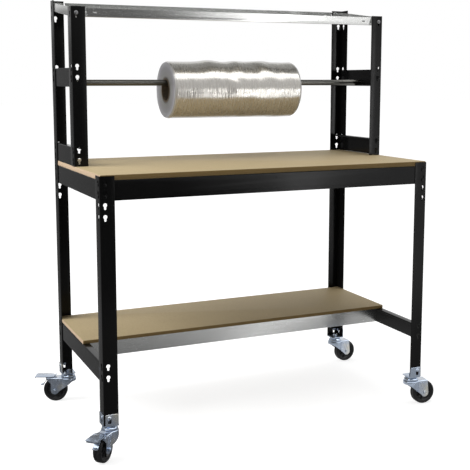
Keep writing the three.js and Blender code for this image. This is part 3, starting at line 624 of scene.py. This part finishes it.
SHEET = 2
FLANGE = 48
BEND = 3.5
WORKTOP_TOP, WORKTOP_THICKNESS = 912, 16
SHELF_TOP, SHELF_THICKNESS = 322, 12
BEAM_TOP = WORKTOP_TOP - WORKTOP_THICKNESS - GAP
SHELF_BEAM_TOP = SHELF_TOP - SHELF_THICKNESS - GAP
BEAM_HEIGHT, BEAM_FLANGE, BEAM_LIP, FOLD = 64, 25, 7, 2.5
UPPER_DEPTH = 303             # over the posts above the worktop
UPPER_FRONT = DEPTH / 2 - UPPER_DEPTH
POST_BOTTOM = 112
FRONT_POST_TOP, UPPER_POST_TOP, REAR_POST_TOP = WORKTOP_TOP - 3, WORKTOP_TOP + 532, WORKTOP_TOP + 571

# keyholes: a round hole above a narrow seat, INSET from the post's corner and PITCH apart
KEYHOLE_ROUND, KEYHOLE_SLOT, KEYHOLE_DROP, INSET, PITCH = 6.5, 3.6, 11, 17, 36.7
STUD_DROP = 14                # from a beam's top to its upper studs
WORKTOP_STUDS = [BEAM_TOP - STUD_DROP, BEAM_TOP - STUD_DROP - PITCH]
SHELF_STUDS = [SHELF_BEAM_TOP - STUD_DROP, SHELF_BEAM_TOP - STUD_DROP - PITCH]
FREE_SEATS = [WORKTOP_STUDS[1] - PITCH, WORKTOP_STUDS[1] - 2 * PITCH]
LOW_CROSS_STUDS = [959.7, 959.7 - PITCH]
MIDDLE_CROSS_STUDS = [1237.5, 1237.5 - PITCH]
TRAY_FRONT_BOLT = 1422.5
TRAY_REAR_BOLT = TRAY_FRONT_BOLT + PITCH
CASTER_SEAT = 124

# x, y and the turn of a post's outer corner
CORNERS = {"front_left": (-WIDTH / 2, -DEPTH / 2, 0), "front_right": (WIDTH / 2, -DEPTH / 2, 90),
           "rear_right": (WIDTH / 2, DEPTH / 2, 180), "rear_left": (-WIDTH / 2, DEPTH / 2, 270)}


def keyholes(seats):
    """Tools for a keyhole at each seat, in the flange along x and in the flange along y."""
    meet = math.degrees(math.asin(KEYHOLE_SLOT / KEYHOLE_ROUND))
    tools = []
    for seat in seats:
        # the one beside the worktop's edge stays below the board
        drop = KEYHOLE_DROP - (4 if seat == WORKTOP_STUDS[0] else 0)
        hole = (arc(INSET, seat, KEYHOLE_SLOT, -180, 0, 10)
                + arc(INSET, seat + drop, KEYHOLE_ROUND, meet - 90, 270 - meet, 22))
        tools += [prism(hole, -1, SHEET + 1, "y"), prism(hole, -1, SHEET + 1, "x")]
    return tools


def post(node, corner, bottom, top, seats, y=None):
    """A folded angle with keyholes, at one of the bench's corners or at another y."""
    x, corner_y, degrees = CORNERS[corner]
    section = [(0, 0, BEND), (FLANGE, 0, CUT), (FLANGE, SHEET, CUT), (SHEET, SHEET, BEND - SHEET),
               (SHEET, FLANGE, CUT), (0, FLANGE, CUT)]
    bar = boolean(prism(section, bottom, top), keyholes(seats))
    piece(node, bar, place_at(x, corner_y if y is None else y, 0, degrees), edge=EASE)


LOWER_SEATS = [*WORKTOP_STUDS, *FREE_SEATS, *SHELF_STUDS, CASTER_SEAT]
UPPER_SEATS = [TRAY_FRONT_BOLT - KEYHOLE_DROP, *MIDDLE_CROSS_STUDS, *LOW_CROSS_STUDS]
REAR_SEATS = [*LOWER_SEATS, *UPPER_SEATS, TRAY_REAR_BOLT - KEYHOLE_DROP]
for side in ("left", "right"):
    post(f"post_front_{side}", f"front_{side}", POST_BOTTOM, FRONT_POST_TOP, LOWER_SEATS)
    post(f"post_rear_{side}", f"rear_{side}", POST_BOTTOM, REAR_POST_TOP, REAR_SEATS)
    post(f"upper_post_front_{side}", f"front_{side}", WORKTOP_TOP + GAP, UPPER_POST_TOP, UPPER_SEATS,
         y=UPPER_FRONT)


# ---- beams ----

INSIDE = SHEET + GAP                          # between a post's face and a beam's
END_CLEARANCE = INSIDE + SHEET + GAP          # between a post's face and a beam's end
FLANGE_TRIM = BEAM_FLANGE - SHEET + GAP       # for the next beam's flange
LONG_BEAM = WIDTH - 2 * END_CLEARANCE
SIDE_BEAM = DEPTH - 2 * END_CLEARANCE
CROSSBEAM = UPPER_DEPTH - 2 * END_CLEARANCE
CROSSBEAM_Y = (DEPTH - UPPER_DEPTH) / 2
LOW_CROSS_TOP = WORKTOP_TOP + GAP + BEAM_HEIGHT
MIDDLE_CROSS_TOP = 1179 + BEAM_HEIGHT
SHELF_BEAM_Y, SHELF_FRONT = -5, -48           # the shelf is in the rear half
TONGUE_LEVELS, TONGUE_HALF = (BEAM_TOP - 14, BEAM_TOP - 50), 3
BAR_RADIUS, BAR_Z = 11, 1192.3


def stud(x, z):
    """A rivet through a beam's web: a domed head outside the post and an upset end inside the beam."""
    face = -GAP - SHEET - GAP
    return lathe([(0, SHEET + 1.1), (2.6, SHEET + 1), (4.2, SHEET + 0.4), (4.4, SHEET - 0.5),
                  (2.8, SHEET - 0.6), (2.8, face), (5.6, face), (6, face - 0.4), (5.8, face - 0.9),
                  (4.6, face - 1.5), (2.4, face - 1.8), (0, face - 1.85)], 24, "y", (x, 0, z))


def end_blocks(near, far, across, low, high):
    """Two blocks, from near to far on either side of a beam's middle."""
    spans = [sorted((side * near, side * far)) for side in (-1, 1)]
    return [block((a, across[0], low), (b, across[1], high)) for a, b in spans]


def beam_web(length, top, at_bottom=False, trim=False, cuts=(), adds=(), studs=()):
    """A beam along x, its web's outer face at y = 0; trim cuts its flange off at both ends."""
    section = [(0, -BEAM_HEIGHT, CUT), (0, 0, FOLD), (BEAM_FLANGE, 0, FOLD), (BEAM_FLANGE, -BEAM_LIP, CUT),
               (BEAM_FLANGE - SHEET, -BEAM_LIP, CUT), (BEAM_FLANGE - SHEET, -SHEET, CUT),
               (SHEET, -SHEET, CUT), (SHEET, -BEAM_HEIGHT, CUT)]
    if at_bottom:
        section = [(y, -BEAM_HEIGHT - z, r) for y, z, r in section]
    bar = prism([(y, top + z) for y, z in outline(section)], -length / 2, length / 2, "x")
    if trim:
        cuts = [*end_blocks(length / 2 - FLANGE_TRIM, length / 2 + 2, (SHEET, BEAM_FLANGE + 1),
                            top - BEAM_HEIGHT - 1, top + 1), *cuts]
    bar = boolean(bar, cuts)
    seat = length / 2 + END_CLEARANCE - INSET
    rivets = [stud(side * seat, z) for z in studs for side in (-1, 1)]
    return joined(bar, *adds, *rivets)


TURNS = {"front": 0, "right": 90, "rear": 180, "left": 270}


def beam(node, side, *shape, y=0, **options):
    """A beam between two posts on one side of the bench."""
    degrees = TURNS[side]
    away = (DEPTH if side in ("front", "rear") else WIDTH) / 2 - INSIDE
    angle = math.radians(degrees)
    place = place_at(math.sin(angle) * away, -math.cos(angle) * away + y, 0, degrees)
    piece(node, beam_web(*shape, **options), place, edge=EASE)


for side in ("front", "rear"):
    slots = [block((-SHEET / 2 - GAP, -1, z - TONGUE_HALF - GAP),
                   (SHEET / 2 + GAP, SHEET + 1, z + TONGUE_HALF + GAP)) for z in TONGUE_LEVELS]
    beam(f"worktop_beam_{side}", side, LONG_BEAM, BEAM_TOP, studs=WORKTOP_STUDS, cuts=slots)
for side in ("left", "right"):
    beam(f"worktop_beam_{side}", side, SIDE_BEAM, BEAM_TOP, studs=WORKTOP_STUDS, trim=True)
    beam(f"shelf_beam_{side}", side, SIDE_BEAM, SHELF_BEAM_TOP, studs=SHELF_STUDS, trim=True)
    beam(f"low_crossbeam_{side}", side, CROSSBEAM, LOW_CROSS_TOP, studs=LOW_CROSS_STUDS, y=CROSSBEAM_Y)
    seat = rod("y", BAR_RADIUS + GAP, SHEET + 2, BEAM_FLANGE + 1, (0, 0, BAR_Z), 48)
    beam(f"middle_crossbeam_{side}", side, CROSSBEAM, MIDDLE_CROSS_TOP, studs=MIDDLE_CROSS_STUDS,
         at_bottom=True, cuts=[seat], y=CROSSBEAM_Y)
beam("shelf_beam_rear", "rear", LONG_BEAM, SHELF_BEAM_TOP, studs=SHELF_STUDS)


def shelf_front():
    """A beam between the side beams, notched at their flanges and with a tab at each end."""
    half, below = LONG_BEAM / 2, SHELF_BEAM_TOP - BEAM_LIP
    tabs = end_blocks(half, half - SHEET, (0.02, 20), SHELF_BEAM_TOP - BEAM_HEIGHT, below - 2)
    notches = end_blocks(half - FLANGE_TRIM - 1, half + 1, (-1, SHEET + 1), below - 1, SHELF_BEAM_TOP + 1)
    return beam_web(LONG_BEAM, SHELF_BEAM_TOP, trim=True, cuts=notches, adds=tabs)


piece("shelf_beam_front", shelf_front(), place_at(0, SHELF_BEAM_Y), edge=EASE)


def cross_brace():
    """An angle under the worktop; the tongues at its ends go through the long beams."""
    half = DEPTH / 2 - END_CLEARANCE
    short = DEPTH / 2 - INSIDE - BEAM_FLANGE - GAP
    bottom = BEAM_TOP - BEAM_HEIGHT + 6
    section = [(-1, bottom), (-1, BEAM_TOP, FOLD), (30, BEAM_TOP, CUT), (30, BEAM_TOP - SHEET, CUT),
               (1, BEAM_TOP - SHEET, CUT), (1, bottom)]
    web = block((-0.99, -half, bottom + 0.01), (0.99, half, BEAM_TOP - BEAM_LIP - 1))
    reach = DEPTH / 2 - INSIDE - 0.2
    tongues = [block((-0.98, -reach, z - TONGUE_HALF), (0.98, reach, z + TONGUE_HALF))
               for z in TONGUE_LEVELS]
    return joined(prism(section, -short, short, "y"), web, *tongues)


piece("worktop_cross_brace", cross_brace(), place_at(), edge=EASE, finish="black_paint")


# ---- boards ----

def board(node, front, thickness, top):
    half = WIDTH / 2 - INSIDE
    plan = rectangle(-half, front, half, DEPTH / 2 - INSIDE, 3)
    piece(node, prism(plan, top - thickness, top, rim=0.8, rim_steps=2), place_at())


board("worktop_board", INSIDE - DEPTH / 2, WORKTOP_THICKNESS, WORKTOP_TOP)
board("shelf_board", SHELF_FRONT, SHELF_THICKNESS, SHELF_TOP)


# ---- tray ----

TRAY_LIP, TRAY_SHEET, TRAY_TILT = 30, 1.5, math.radians(7.4)
TRAY_BOTTOM = WORKTOP_TOP + 497     # at its front edge


def tray():
    """A tilted pan; its front and rear lips have a notch and a slot near both ends."""
    half = WIDTH / 2 - INSIDE
    lean = TRAY_LIP * math.sin(TRAY_TILT)
    depth = (UPPER_DEPTH - 2 * INSIDE - lean) / math.cos(TRAY_TILT)
    # both pans are deeper than the lips and rounded at both ends, and the lips' top is cut level
    outer = prism(rectangle(-half, 0, half, depth, 3), 0, TRAY_LIP + 4, rim=2.8, rim_steps=4)
    inner = prism(rectangle(TRAY_SHEET - half, TRAY_SHEET, half - TRAY_SHEET, depth - TRAY_SHEET, 1.6),
                  TRAY_SHEET, TRAY_LIP + 8, rim=1.3, rim_steps=4)
    tools = [inner, block((-half - 5, -5, TRAY_LIP), (half + 5, depth + 5, TRAY_LIP + 9))]
    for side in (-1, 1):
        end = side * WIDTH / 2
        notch = [(end - side * 58, TRAY_SHEET + 0.8), (end - side * 44, TRAY_SHEET + 0.8),
                 (end - side * 44, TRAY_LIP + 1), (end - side * 50, TRAY_LIP + 1)]
        middle = end - side * 82
        slot = (arc(middle + 4.5, TRAY_LIP / 2, 2.5, -90, 90, 10)
                + arc(middle - 4.5, TRAY_LIP / 2, 2.5, 90, 270, 10))
        tools += [prism(notch, -1, depth + 1, "y"), prism(slot, -1, depth + 1, "y")]
    pan = boolean(outer, tools)
    moved(pan, Matrix.Rotation(TRAY_TILT, 4, "X"))
    moved(pan, Matrix.Translation((0, UPPER_FRONT + INSIDE + lean, TRAY_BOTTOM)))
    holes = []
    for x in (INSET - WIDTH / 2, WIDTH / 2 - INSET):
        holes.append(rod("y", 4.3, UPPER_FRONT, UPPER_FRONT + 15, (x, 0, TRAY_FRONT_BOLT)))
        holes.append(rod("y", 4.3, DEPTH / 2 - 15, DEPTH / 2, (x, 0, TRAY_REAR_BOLT)))
    return boolean(pan, holes)


piece("top_tray", tray(), place_at(), finish="tray_galvanised")


def tray_bolt():
    """A round-headed bolt along y with a washer and a hexagon nut inside the tray's lip."""
    head = lathe([(0, 14.6), (3.2, 14.6), (4, 13.9), (4, -GAP), (7.2, -GAP), (7.2, -GAP - 0.7),
                  (6.7, -GAP - 1.7), (5.2, -GAP - 2.8), (3.2, -GAP - 3.4), (0, -GAP - 3.6)], SEGMENTS, "y")
    return joined(head, lathe([(3.9, 7.4), (8.2, 7.4), (8.2, 8.6), (3.9, 8.6)], SEGMENTS, "y"),
                  hexagon("y", 13, 8.5, 13.2, (0, 0, 0)))


for side, sign in (("left", -1), ("right", 1)):
    x = sign * (WIDTH / 2 - INSET)
    front, rear = place_at(x, UPPER_FRONT, TRAY_FRONT_BOLT), place_at(x, DEPTH / 2, TRAY_REAR_BOLT, 180)
    piece(f"tray_bolt_front_{side}", tray_bolt(), front, finish="dull_zinc")
    piece(f"tray_bolt_rear_{side}", tray_bolt(), rear, finish="dull_zinc")


# ---- bar, core and film ----

BAR_HALF = WIDTH / 2 - INSIDE - SHEET - 1.2
CORE_OUTER, CORE_INNER = 44, 38
ROLL_RADIUS, END_RADIUS = 105, 101.5
ROLL_X, ROLL_Z = 30, BAR_Z - (CORE_INNER - BAR_RADIUS - GAP)     # the core hangs on the bar

bar_end = [(9.5, -BAR_HALF + CUT), (9.9, -BAR_HALF), (10.5, -BAR_HALF), (BAR_RADIUS, -BAR_HALF + CUT)]
piece("roll_bar", lathe(mirrored(bar_end), 48, "x"), place_at(0, CROSSBEAM_Y, BAR_Z))


def spiral_core():
    """Paper tube with a helical seam pressed into its outer and inner faces."""
    half = ROLL_HALF + 1
    around, along = 64, 128
    lead = 118                # of the seam's helix
    bm = bmesh.new()
    shells = []
    for radius, inward in ((CORE_OUTER, 1), (CORE_INNER, -1)):
        rows = []
        for i in range(along + 1):
            x = -half + 2 * half * i / along
            end = 0.5 if i in (0, along) else 0
            ring = []
            for k in range(around):
                angle = 2 * math.pi * k / around
                seam = abs(((x / lead - k / around) % 1) - 0.5) * lead
                dip = 0.35 * math.exp(-(seam / 2.2) ** 2)
                r = radius - inward * (dip + end)
                ring.append(bm.verts.new((x, r * math.cos(angle), r * math.sin(angle))))
            rows.append(ring)
        shells.append(rows)
    for rows in shells:
        for lower, upper in zip(rows, rows[1:]):
            bridge(bm, lower, upper)
    for end in (0, -1):
        bridge(bm, shells[0][end], shells[1][end])
    return outward(bm)


piece("roll_core", spiral_core(), place_at(ROLL_X, CROSSBEAM_Y, ROLL_Z))


def rise(value):
    """0 up to 0, then rising smoothly to 1 at 1 and beyond."""
    t = min(max(value, 0), 1)
    return t * t * (3 - 2 * t)


def crumple(x, side, length, turns, shift):
    """Noise that changes over length mm along the roll, and round it the more often the more turns."""
    values = (x / length, side.x * turns, side.y * turns)
    return noise.noise(Vector([value + more for value, more in zip(values, shift)]))


# Where the loose outer wraps stand up along the top: place and spread in half lengths, height in mm.
SWELLS = ((-0.37, 0.15, 5.0), (0.06, 0.11, 3.4), (0.47, 0.15, 4.6))


def film():
    """Wound film: loose outer wraps that bulge and crease, and ends with slightly staggered layers."""
    around, along, layers = 176, 300, 14
    inner = CORE_OUTER + GAP
    angles = [2 * math.pi * k / around for k in range(around)]
    bm = bmesh.new()
    rows = []
    for i in range(along + 1):
        u = 2 * i / along - 1
        x = u * ROLL_HALF
        # the wraps are tight at the left end and loose to the right
        slack = 0.25 + 0.75 * rise((u + 0.75) * 1.4)
        swell = sum(height * math.exp(-((u - centre) / width) ** 2) for centre, width, height in SWELLS)
        ring = []
        for angle in angles:
            side = Vector((math.cos(angle), math.sin(angle)))
            loose = crumple(x, side, 95, 1.3, (0, 7, 0))
            waves = crumple(x, side, 38, 2.1, (20, 0, 0))
            wrinkle = crumple(x, side, 3.6, 2.4, (0, 0, 40))
            patch = rise(crumple(x, side, 60, 1.7, (5, 0, 11)) * 2.5 + 0.4)
            upper = 0.45 + 0.55 * rise(side.y * 1.4 + 0.4)
            radius = ROLL_RADIUS - 1.4 + slack * upper * (4.6 * max(loose, 0) + 1.3 * waves)
            radius += 0.22 * wrinkle * (0.3 + patch)
            radius += swell * rise((side.y - 0.5) * 2.2)
            # the wraps curl in over the last millimetres
            radius -= 3.2 * (1 - rise((1 - abs(u)) * ROLL_HALF / 7))
            ring.append(bm.verts.new((x, radius * side.x, radius * side.y)))
        rows.append(ring)
    for outer, side in ((rows[0], -1), (rows[-1], 1)):
        for layer in range(1, layers + 1):
            depth = 0.7 * abs(noise.noise(Vector((layer * 1.7, side * 5, 3)))) * (layer < layers)
            radius = END_RADIUS + (inner - END_RADIUS) * layer / layers
            x = side * (ROLL_HALF - depth)
            ring = [bm.verts.new((x, radius * math.cos(a), radius * math.sin(a))) for a in angles]
            bridge(bm, outer, ring)
            outer = ring
        rows.append(outer)
    # the outside and the bore
    for lower, upper in [*zip(rows[:along + 1], rows[1:along + 1]), (rows[-2], rows[-1])]:
        bridge(bm, lower, upper)
    return outward(bm)


piece("film_roll", film(), place_at(ROLL_X, CROSSBEAM_Y, ROLL_Z), smooth=60)


# ---- casters ----

WHEEL_RADIUS, TRAIL = 44, 48
AXLE_PLACE = (TRAIL, 0, WHEEL_RADIUS)     # from the swivel's axis, on the floor
OTHER_SIDE = Matrix.Diagonal((1, -1, 1, 1))
SWIVEL_INSET = 25
PLATE_BOTTOM, PLATE_TOP = POST_BOTTOM - GAP - 3, POST_BOTTOM - GAP
CASTER_BOLT = 135
FORK_TOP, FORK_SHEET = 92.6, 2.4
FORK_ROOF, FORK_LEG, FORK_FRONT = 57, 21, 29
PIVOT_X, PIVOT_Z, PIVOT_HOLE = 70, 87, 2.8
PIVOT_PLACE = (PIVOT_X, 0, PIVOT_Z)
PEDAL_Z, PEDAL_HALF = 95.5, 1.1           # the foot plate's middle and half its thickness


def bracket():
    """Base plate under a post with two ears outside its flanges, each bolted through a slot."""
    out = -GAP - 2.5
    plan = [(4, out), (47, out), (49, 0), (49, 49, 6), (0, 49), (out, 47), (out, 4), (4, 4, 2)]
    plate = prism(plan, PLATE_BOTTOM, PLATE_TOP, rim=0.5, rim_steps=1)
    top = POST_BOTTOM + 36
    face = [(4, PLATE_BOTTOM, 2), (47, PLATE_BOTTOM, 2), (47, top, 6), (4, top, 4)]
    slot = rectangle(INSET - 5.5, CASTER_BOLT - 17, INSET + 6.5, CASTER_BOLT + 6, 5.6)
    ear = boolean(prism(face, out, -GAP, "y", rim=0.5, rim_steps=1), [prism(slot, out - 2, 1, "y")])
    bolt_place = (INSET, 0, CASTER_BOLT + 1.5)
    bolt = lathe([(0, -out + 3.4), (2.4, -out + 3.2), (4.8, -out + 2.4), (6.3, -out + 1),
                  (6.6, -out - 0.4), (3, -out - 0.5), (3, -8.5), (0, -8.6)], SEGMENTS, "y")
    moved(bolt, OTHER_SIDE @ Matrix.Translation(bolt_place))
    nut = hexagon("y", 10, SHEET + 0.1, SHEET + 5.3, bolt_place, 15)
    fastened = joined(ear, bolt, nut)
    swap_x_y = Matrix(((0, 1, 0, 0), (1, 0, 0, 0), (0, 0, 1, 0), (0, 0, 0, 1)))
    other = moved(fastened.copy(), swap_x_y)
    hole = rod("z", 5.3, PLATE_BOTTOM - 1, PLATE_TOP + 1, (SWIVEL_INSET, SWIVEL_INSET, 0))
    return boolean(joined(plate, fastened, other), [hole])


def swivel_head():
    """The fixed half of the swivel: a domed race, the kingpin with its rivet head below and a nut above."""
    roof = FORK_TOP - FORK_SHEET
    dome = [(5, 0.6), (24.4, 0.6), (25.4, 1), (26, 1.9), (26, 4.6), (25.7, 6), (24.8, 7.4), (23.4, 9),
            (21.4, 11.2), (19.6, 13.2)]
    dome = [*((radius, FORK_TOP + height) for radius, height in dome), (17.6, PLATE_BOTTOM - 1),
            (16, PLATE_BOTTOM - GAP), (5, PLATE_BOTTOM - GAP)]
    pin = [(0, roof - 2.7), (6.8, roof - 2.7), (8.4, roof - 2.1), (9, roof - 1.1), (9, roof - GAP),
           (5, roof - GAP), (5, FORK_TOP + 0.5)]
    top = [(5, POST_BOTTOM + 8), (4.2, POST_BOTTOM + 8.9), (0, POST_BOTTOM + 9)]
    head = lathe([*pin, *dome, *top], 48)
    nut = hexagon("z", 16, POST_BOTTOM, POST_BOTTOM + 7, (0, 0, 0))
    return joined(head, nut)


def fork(braked):
    """Pressed fork: a rounded shell about the swivel with two ribbed legs down to the axle."""
    def plan(offset):
        meet = math.degrees(math.asin((FORK_LEG - offset) / (FORK_FRONT - offset)))
        return (arc(0, 0, FORK_FRONT - offset, meet, 360 - meet, 40)
                + [(82, offset - FORK_LEG), (82, FORK_LEG - offset)])

    shell = prism(plan(0), -6, FORK_TOP, rim=4, rim_steps=4)
    hollow = prism(plan(FORK_SHEET), -12, FORK_TOP - FORK_SHEET, rim=1.8, rim_steps=3)
    inside = FORK_LEG - FORK_SHEET
    rear = block((FORK_ROOF, -inside, -20), (90, inside, FORK_TOP + 2))
    side = [(-30, 100), (-30, 80), (-20, 80, 4), (34, 38, 3), *arc(TRAIL, WHEEL_RADIUS, 15, 225, 360, 16)]
    if braked:
        side += [(62, 70, 3), (PIVOT_X + 6, PIVOT_Z - 5, 3), (PIVOT_X + 6, 100)]
    else:
        side += [(FORK_ROOF + 1, 100)]
    body = boolean(shell, [hollow, rear])
    body = boolean(body, [prism(side, -40, 40, "y")], "INTERSECT")
    ribs = []
    for sign in (-1, 1):
        for x in (TRAIL - 9, TRAIL + 3):
            face = [(x - 13, 86, 2), (x + 1.5, 52, 1.5), (x + 5, 52, 1.5), (x - 7, 86, 2)]
            ribs.append(prism(face, FORK_LEG - 1, FORK_LEG + 1.6, "y", rim=1.2))
        ribs.append(lathe([(0, FORK_LEG - 1), (9.5, FORK_LEG - 1), (9.5, FORK_LEG + 0.05),
                           (8.8, FORK_LEG + 0.25), (0, FORK_LEG + 0.25)], SEGMENTS, "y", AXLE_PLACE))
        if sign < 0:
            for rib in ribs:
                moved(rib, OTHER_SIDE)
    # the ball race pressed up out of the roof
    ribs.append(lathe([(6, FORK_TOP - 1), (23, FORK_TOP - 1), (23, FORK_TOP + 0.2), (22, FORK_TOP + 0.5),
                       (6, FORK_TOP + 0.5)], 48))
    body = joined(body, *ribs)
    holes = [rod("z", 5.5, FORK_TOP - 5, FORK_TOP + 2, (0, 0, 0)), rod("y", 4.3, -24, 24, AXLE_PLACE)]
    if braked:
        holes.append(rod("y", PIVOT_HOLE, -24, 24, PIVOT_PLACE))
    return boolean(body, holes)


def wheel():
    """Nylon rim on a hub, its web stiffened by ribs on both faces."""
    rim = [(4.4, -18.2), (9.6, -18.2), (10.8, -17.6), (12, -8), (13.4, -6.2), (26.2, -5.4), (28, -6.4),
           (30.4, -11.2), (31.4, -12), (33.4, -12)]
    body = lathe(mirrored(rim), 72, "y", AXLE_PLACE)
    ribs = []
    for i in range(8):
        rib = block((10, -9.5, -1), (29, 9.5, 1), rim=0.4)
        moved(rib, Matrix.Translation(AXLE_PLACE) @ Matrix.Rotation(math.radians(45 * i + 10), 4, "Y"))
        ribs.append(rib)
    return joined(body, *ribs)


def tyre():
    """Solid rubber tread with round shoulders, a parting line and a step against the rim."""
    half = [(33.8, -12.6), (35.5, -13.9), (37.2, -14.6), *arc(WHEEL_RADIUS - 7, -8, 7, -80, 0, 9),
            (WHEEL_RADIUS, -0.8), (WHEEL_RADIUS - 0.35, -0.3)]
    return lathe(mirrored(half), 120, "y", AXLE_PLACE)


def axle():
    """A bolt through the fork with a hexagon head on one side and a lock nut on the other."""
    face = FORK_LEG + 0.4
    shaft = rod("y", 4, -face - 2, face + 8, AXLE_PLACE, rim=0.6)
    head = hexagon("y", 13, -face - 5.2, -face, AXLE_PLACE, 12)
    nut = hexagon("y", 13, face, face + 5.6, AXLE_PLACE, 40)
    collar = lathe([(3.9, face + 5), (5.6, face + 5), (5.6, face + 6.6), (5, face + 7.4), (3.9, face + 7.4)],
                   SEGMENTS, "y", AXLE_PLACE)
    return joined(shaft, head, nut, collar)


def pedal():
    """Foot plate with a turned-down end, a release tab and cheeks for the pivot pin."""
    plan = [(50, -14.5, 1), (64, -22.5, 3), (122, -22.5, 5), (122, 22.5, 5), (64, 22.5, 3), (50, 14.5, 1)]
    parts = [prism(plan, PEDAL_Z - PEDAL_HALF, PEDAL_Z + PEDAL_HALF, rim=0.5, rim_steps=2)]
    parts.append(block((119.8, -17.5, PEDAL_Z - 5.5), (121.9, 17.5, PEDAL_Z + 0.4), rim=0.5))
    tab = [(50, PEDAL_Z - 0.5), (55, PEDAL_Z - 1), (52.6, PEDAL_Z + 1), (45, PEDAL_Z + 6, CUT),
           (43, PEDAL_Z + 5, CUT)]
    parts.append(prism(tab, -9, 9, "y", rim=0.3, rim_steps=1))
    low, high = PIVOT_Z - 4.5, PEDAL_Z - 0.2
    cheek = [(PIVOT_X - 5, PIVOT_Z + 1, 1), (PIVOT_X - 3, low, 2), (PIVOT_X + 4, low, 2),
             (PIVOT_X + 14, high), (PIVOT_X - 8, high)]
    for middle in (-16, 16):
        parts.append(prism(cheek, middle - 1.2, middle + 1.2, "y", rim=0.3, rim_steps=1))
    return boolean(joined(*parts), [rod("y", PIVOT_HOLE, -20, 20, PIVOT_PLACE)])


def brake_shoe():
    """Strap under the pedal: a flat end, a bow that hugs the tyre and an end turned outwards."""
    inner, outer = WHEEL_RADIUS + 3.6, WHEEL_RADIUS + 3.6 + SHEET
    front, top = TRAIL + 32, PEDAL_Z - PEDAL_HALF - GAP
    start = math.degrees(math.acos((front - TRAIL) / inner))
    outer_start = math.degrees(math.acos((front + SHEET - TRAIL) / outer))
    bow = arc(TRAIL, WHEEL_RADIUS, inner, 20, start, 12)
    end_x, end_z = bow[0]
    under = top - SHEET
    strap = [(front, top, 1.4), (front + 17, top, 0.5), (front + 17, under, 0.5), (front + SHEET, under, CUT)]
    strap += arc(TRAIL, WHEEL_RADIUS, outer, outer_start, 24, 12)
    strap += [(end_x + 11, end_z + SHEET, CUT), (end_x + 11, end_z, CUT), *bow]
    rivet = lathe([(0, under - 1.6), (2, under - 1.5), (3, under - 0.6), (3, under + 0.4), (0, under + 0.5)],
                  24, "z", (front + 10, 0, 0))
    return joined(prism(strap, -9, 9, "y", rim=0.3, rim_steps=1), rivet)


def pivot_pin():
    face = FORK_LEG + 0.3
    profile = [(0, -face - 1.7), (2.4, -face - 1.6), (3.7, -face - 1), (4, -face - 0.3), (3.9, -face),
               (2.5, -face)]
    return lathe(mirrored(profile), 24, "y", PIVOT_PLACE)


# the way each wheel trails, in degrees from +X, and whether it has a brake
CASTERS = {"front_left": (226, True), "front_right": (-5, False), "rear_right": (1.5, False),
           "rear_left": (155, True)}

for corner, (trail, braked) in CASTERS.items():
    x, y, degrees = CORNERS[corner]
    name = f"caster_{corner}"
    piece(f"{name}_bracket", bracket(), place_at(x, y, 0, degrees))
    swivel = place_at(x - math.copysign(SWIVEL_INSET, x), y - math.copysign(SWIVEL_INSET, y), 0, trail)
    piece(f"{name}_swivel_head", swivel_head(), swivel)
    piece(f"{name}_fork", fork(braked), swivel)
    piece(f"{name}_axle", axle(), swivel)
    piece(f"{name}_wheel", wheel(), swivel)
    piece(f"{name}_tyre", tyre(), swivel, smooth=50)
    if braked:
        for part, build in (("pedal", pedal), ("shoe", brake_shoe), ("pin", pivot_pin)):
            piece(f"{name}_brake_{part}", build(), swivel)
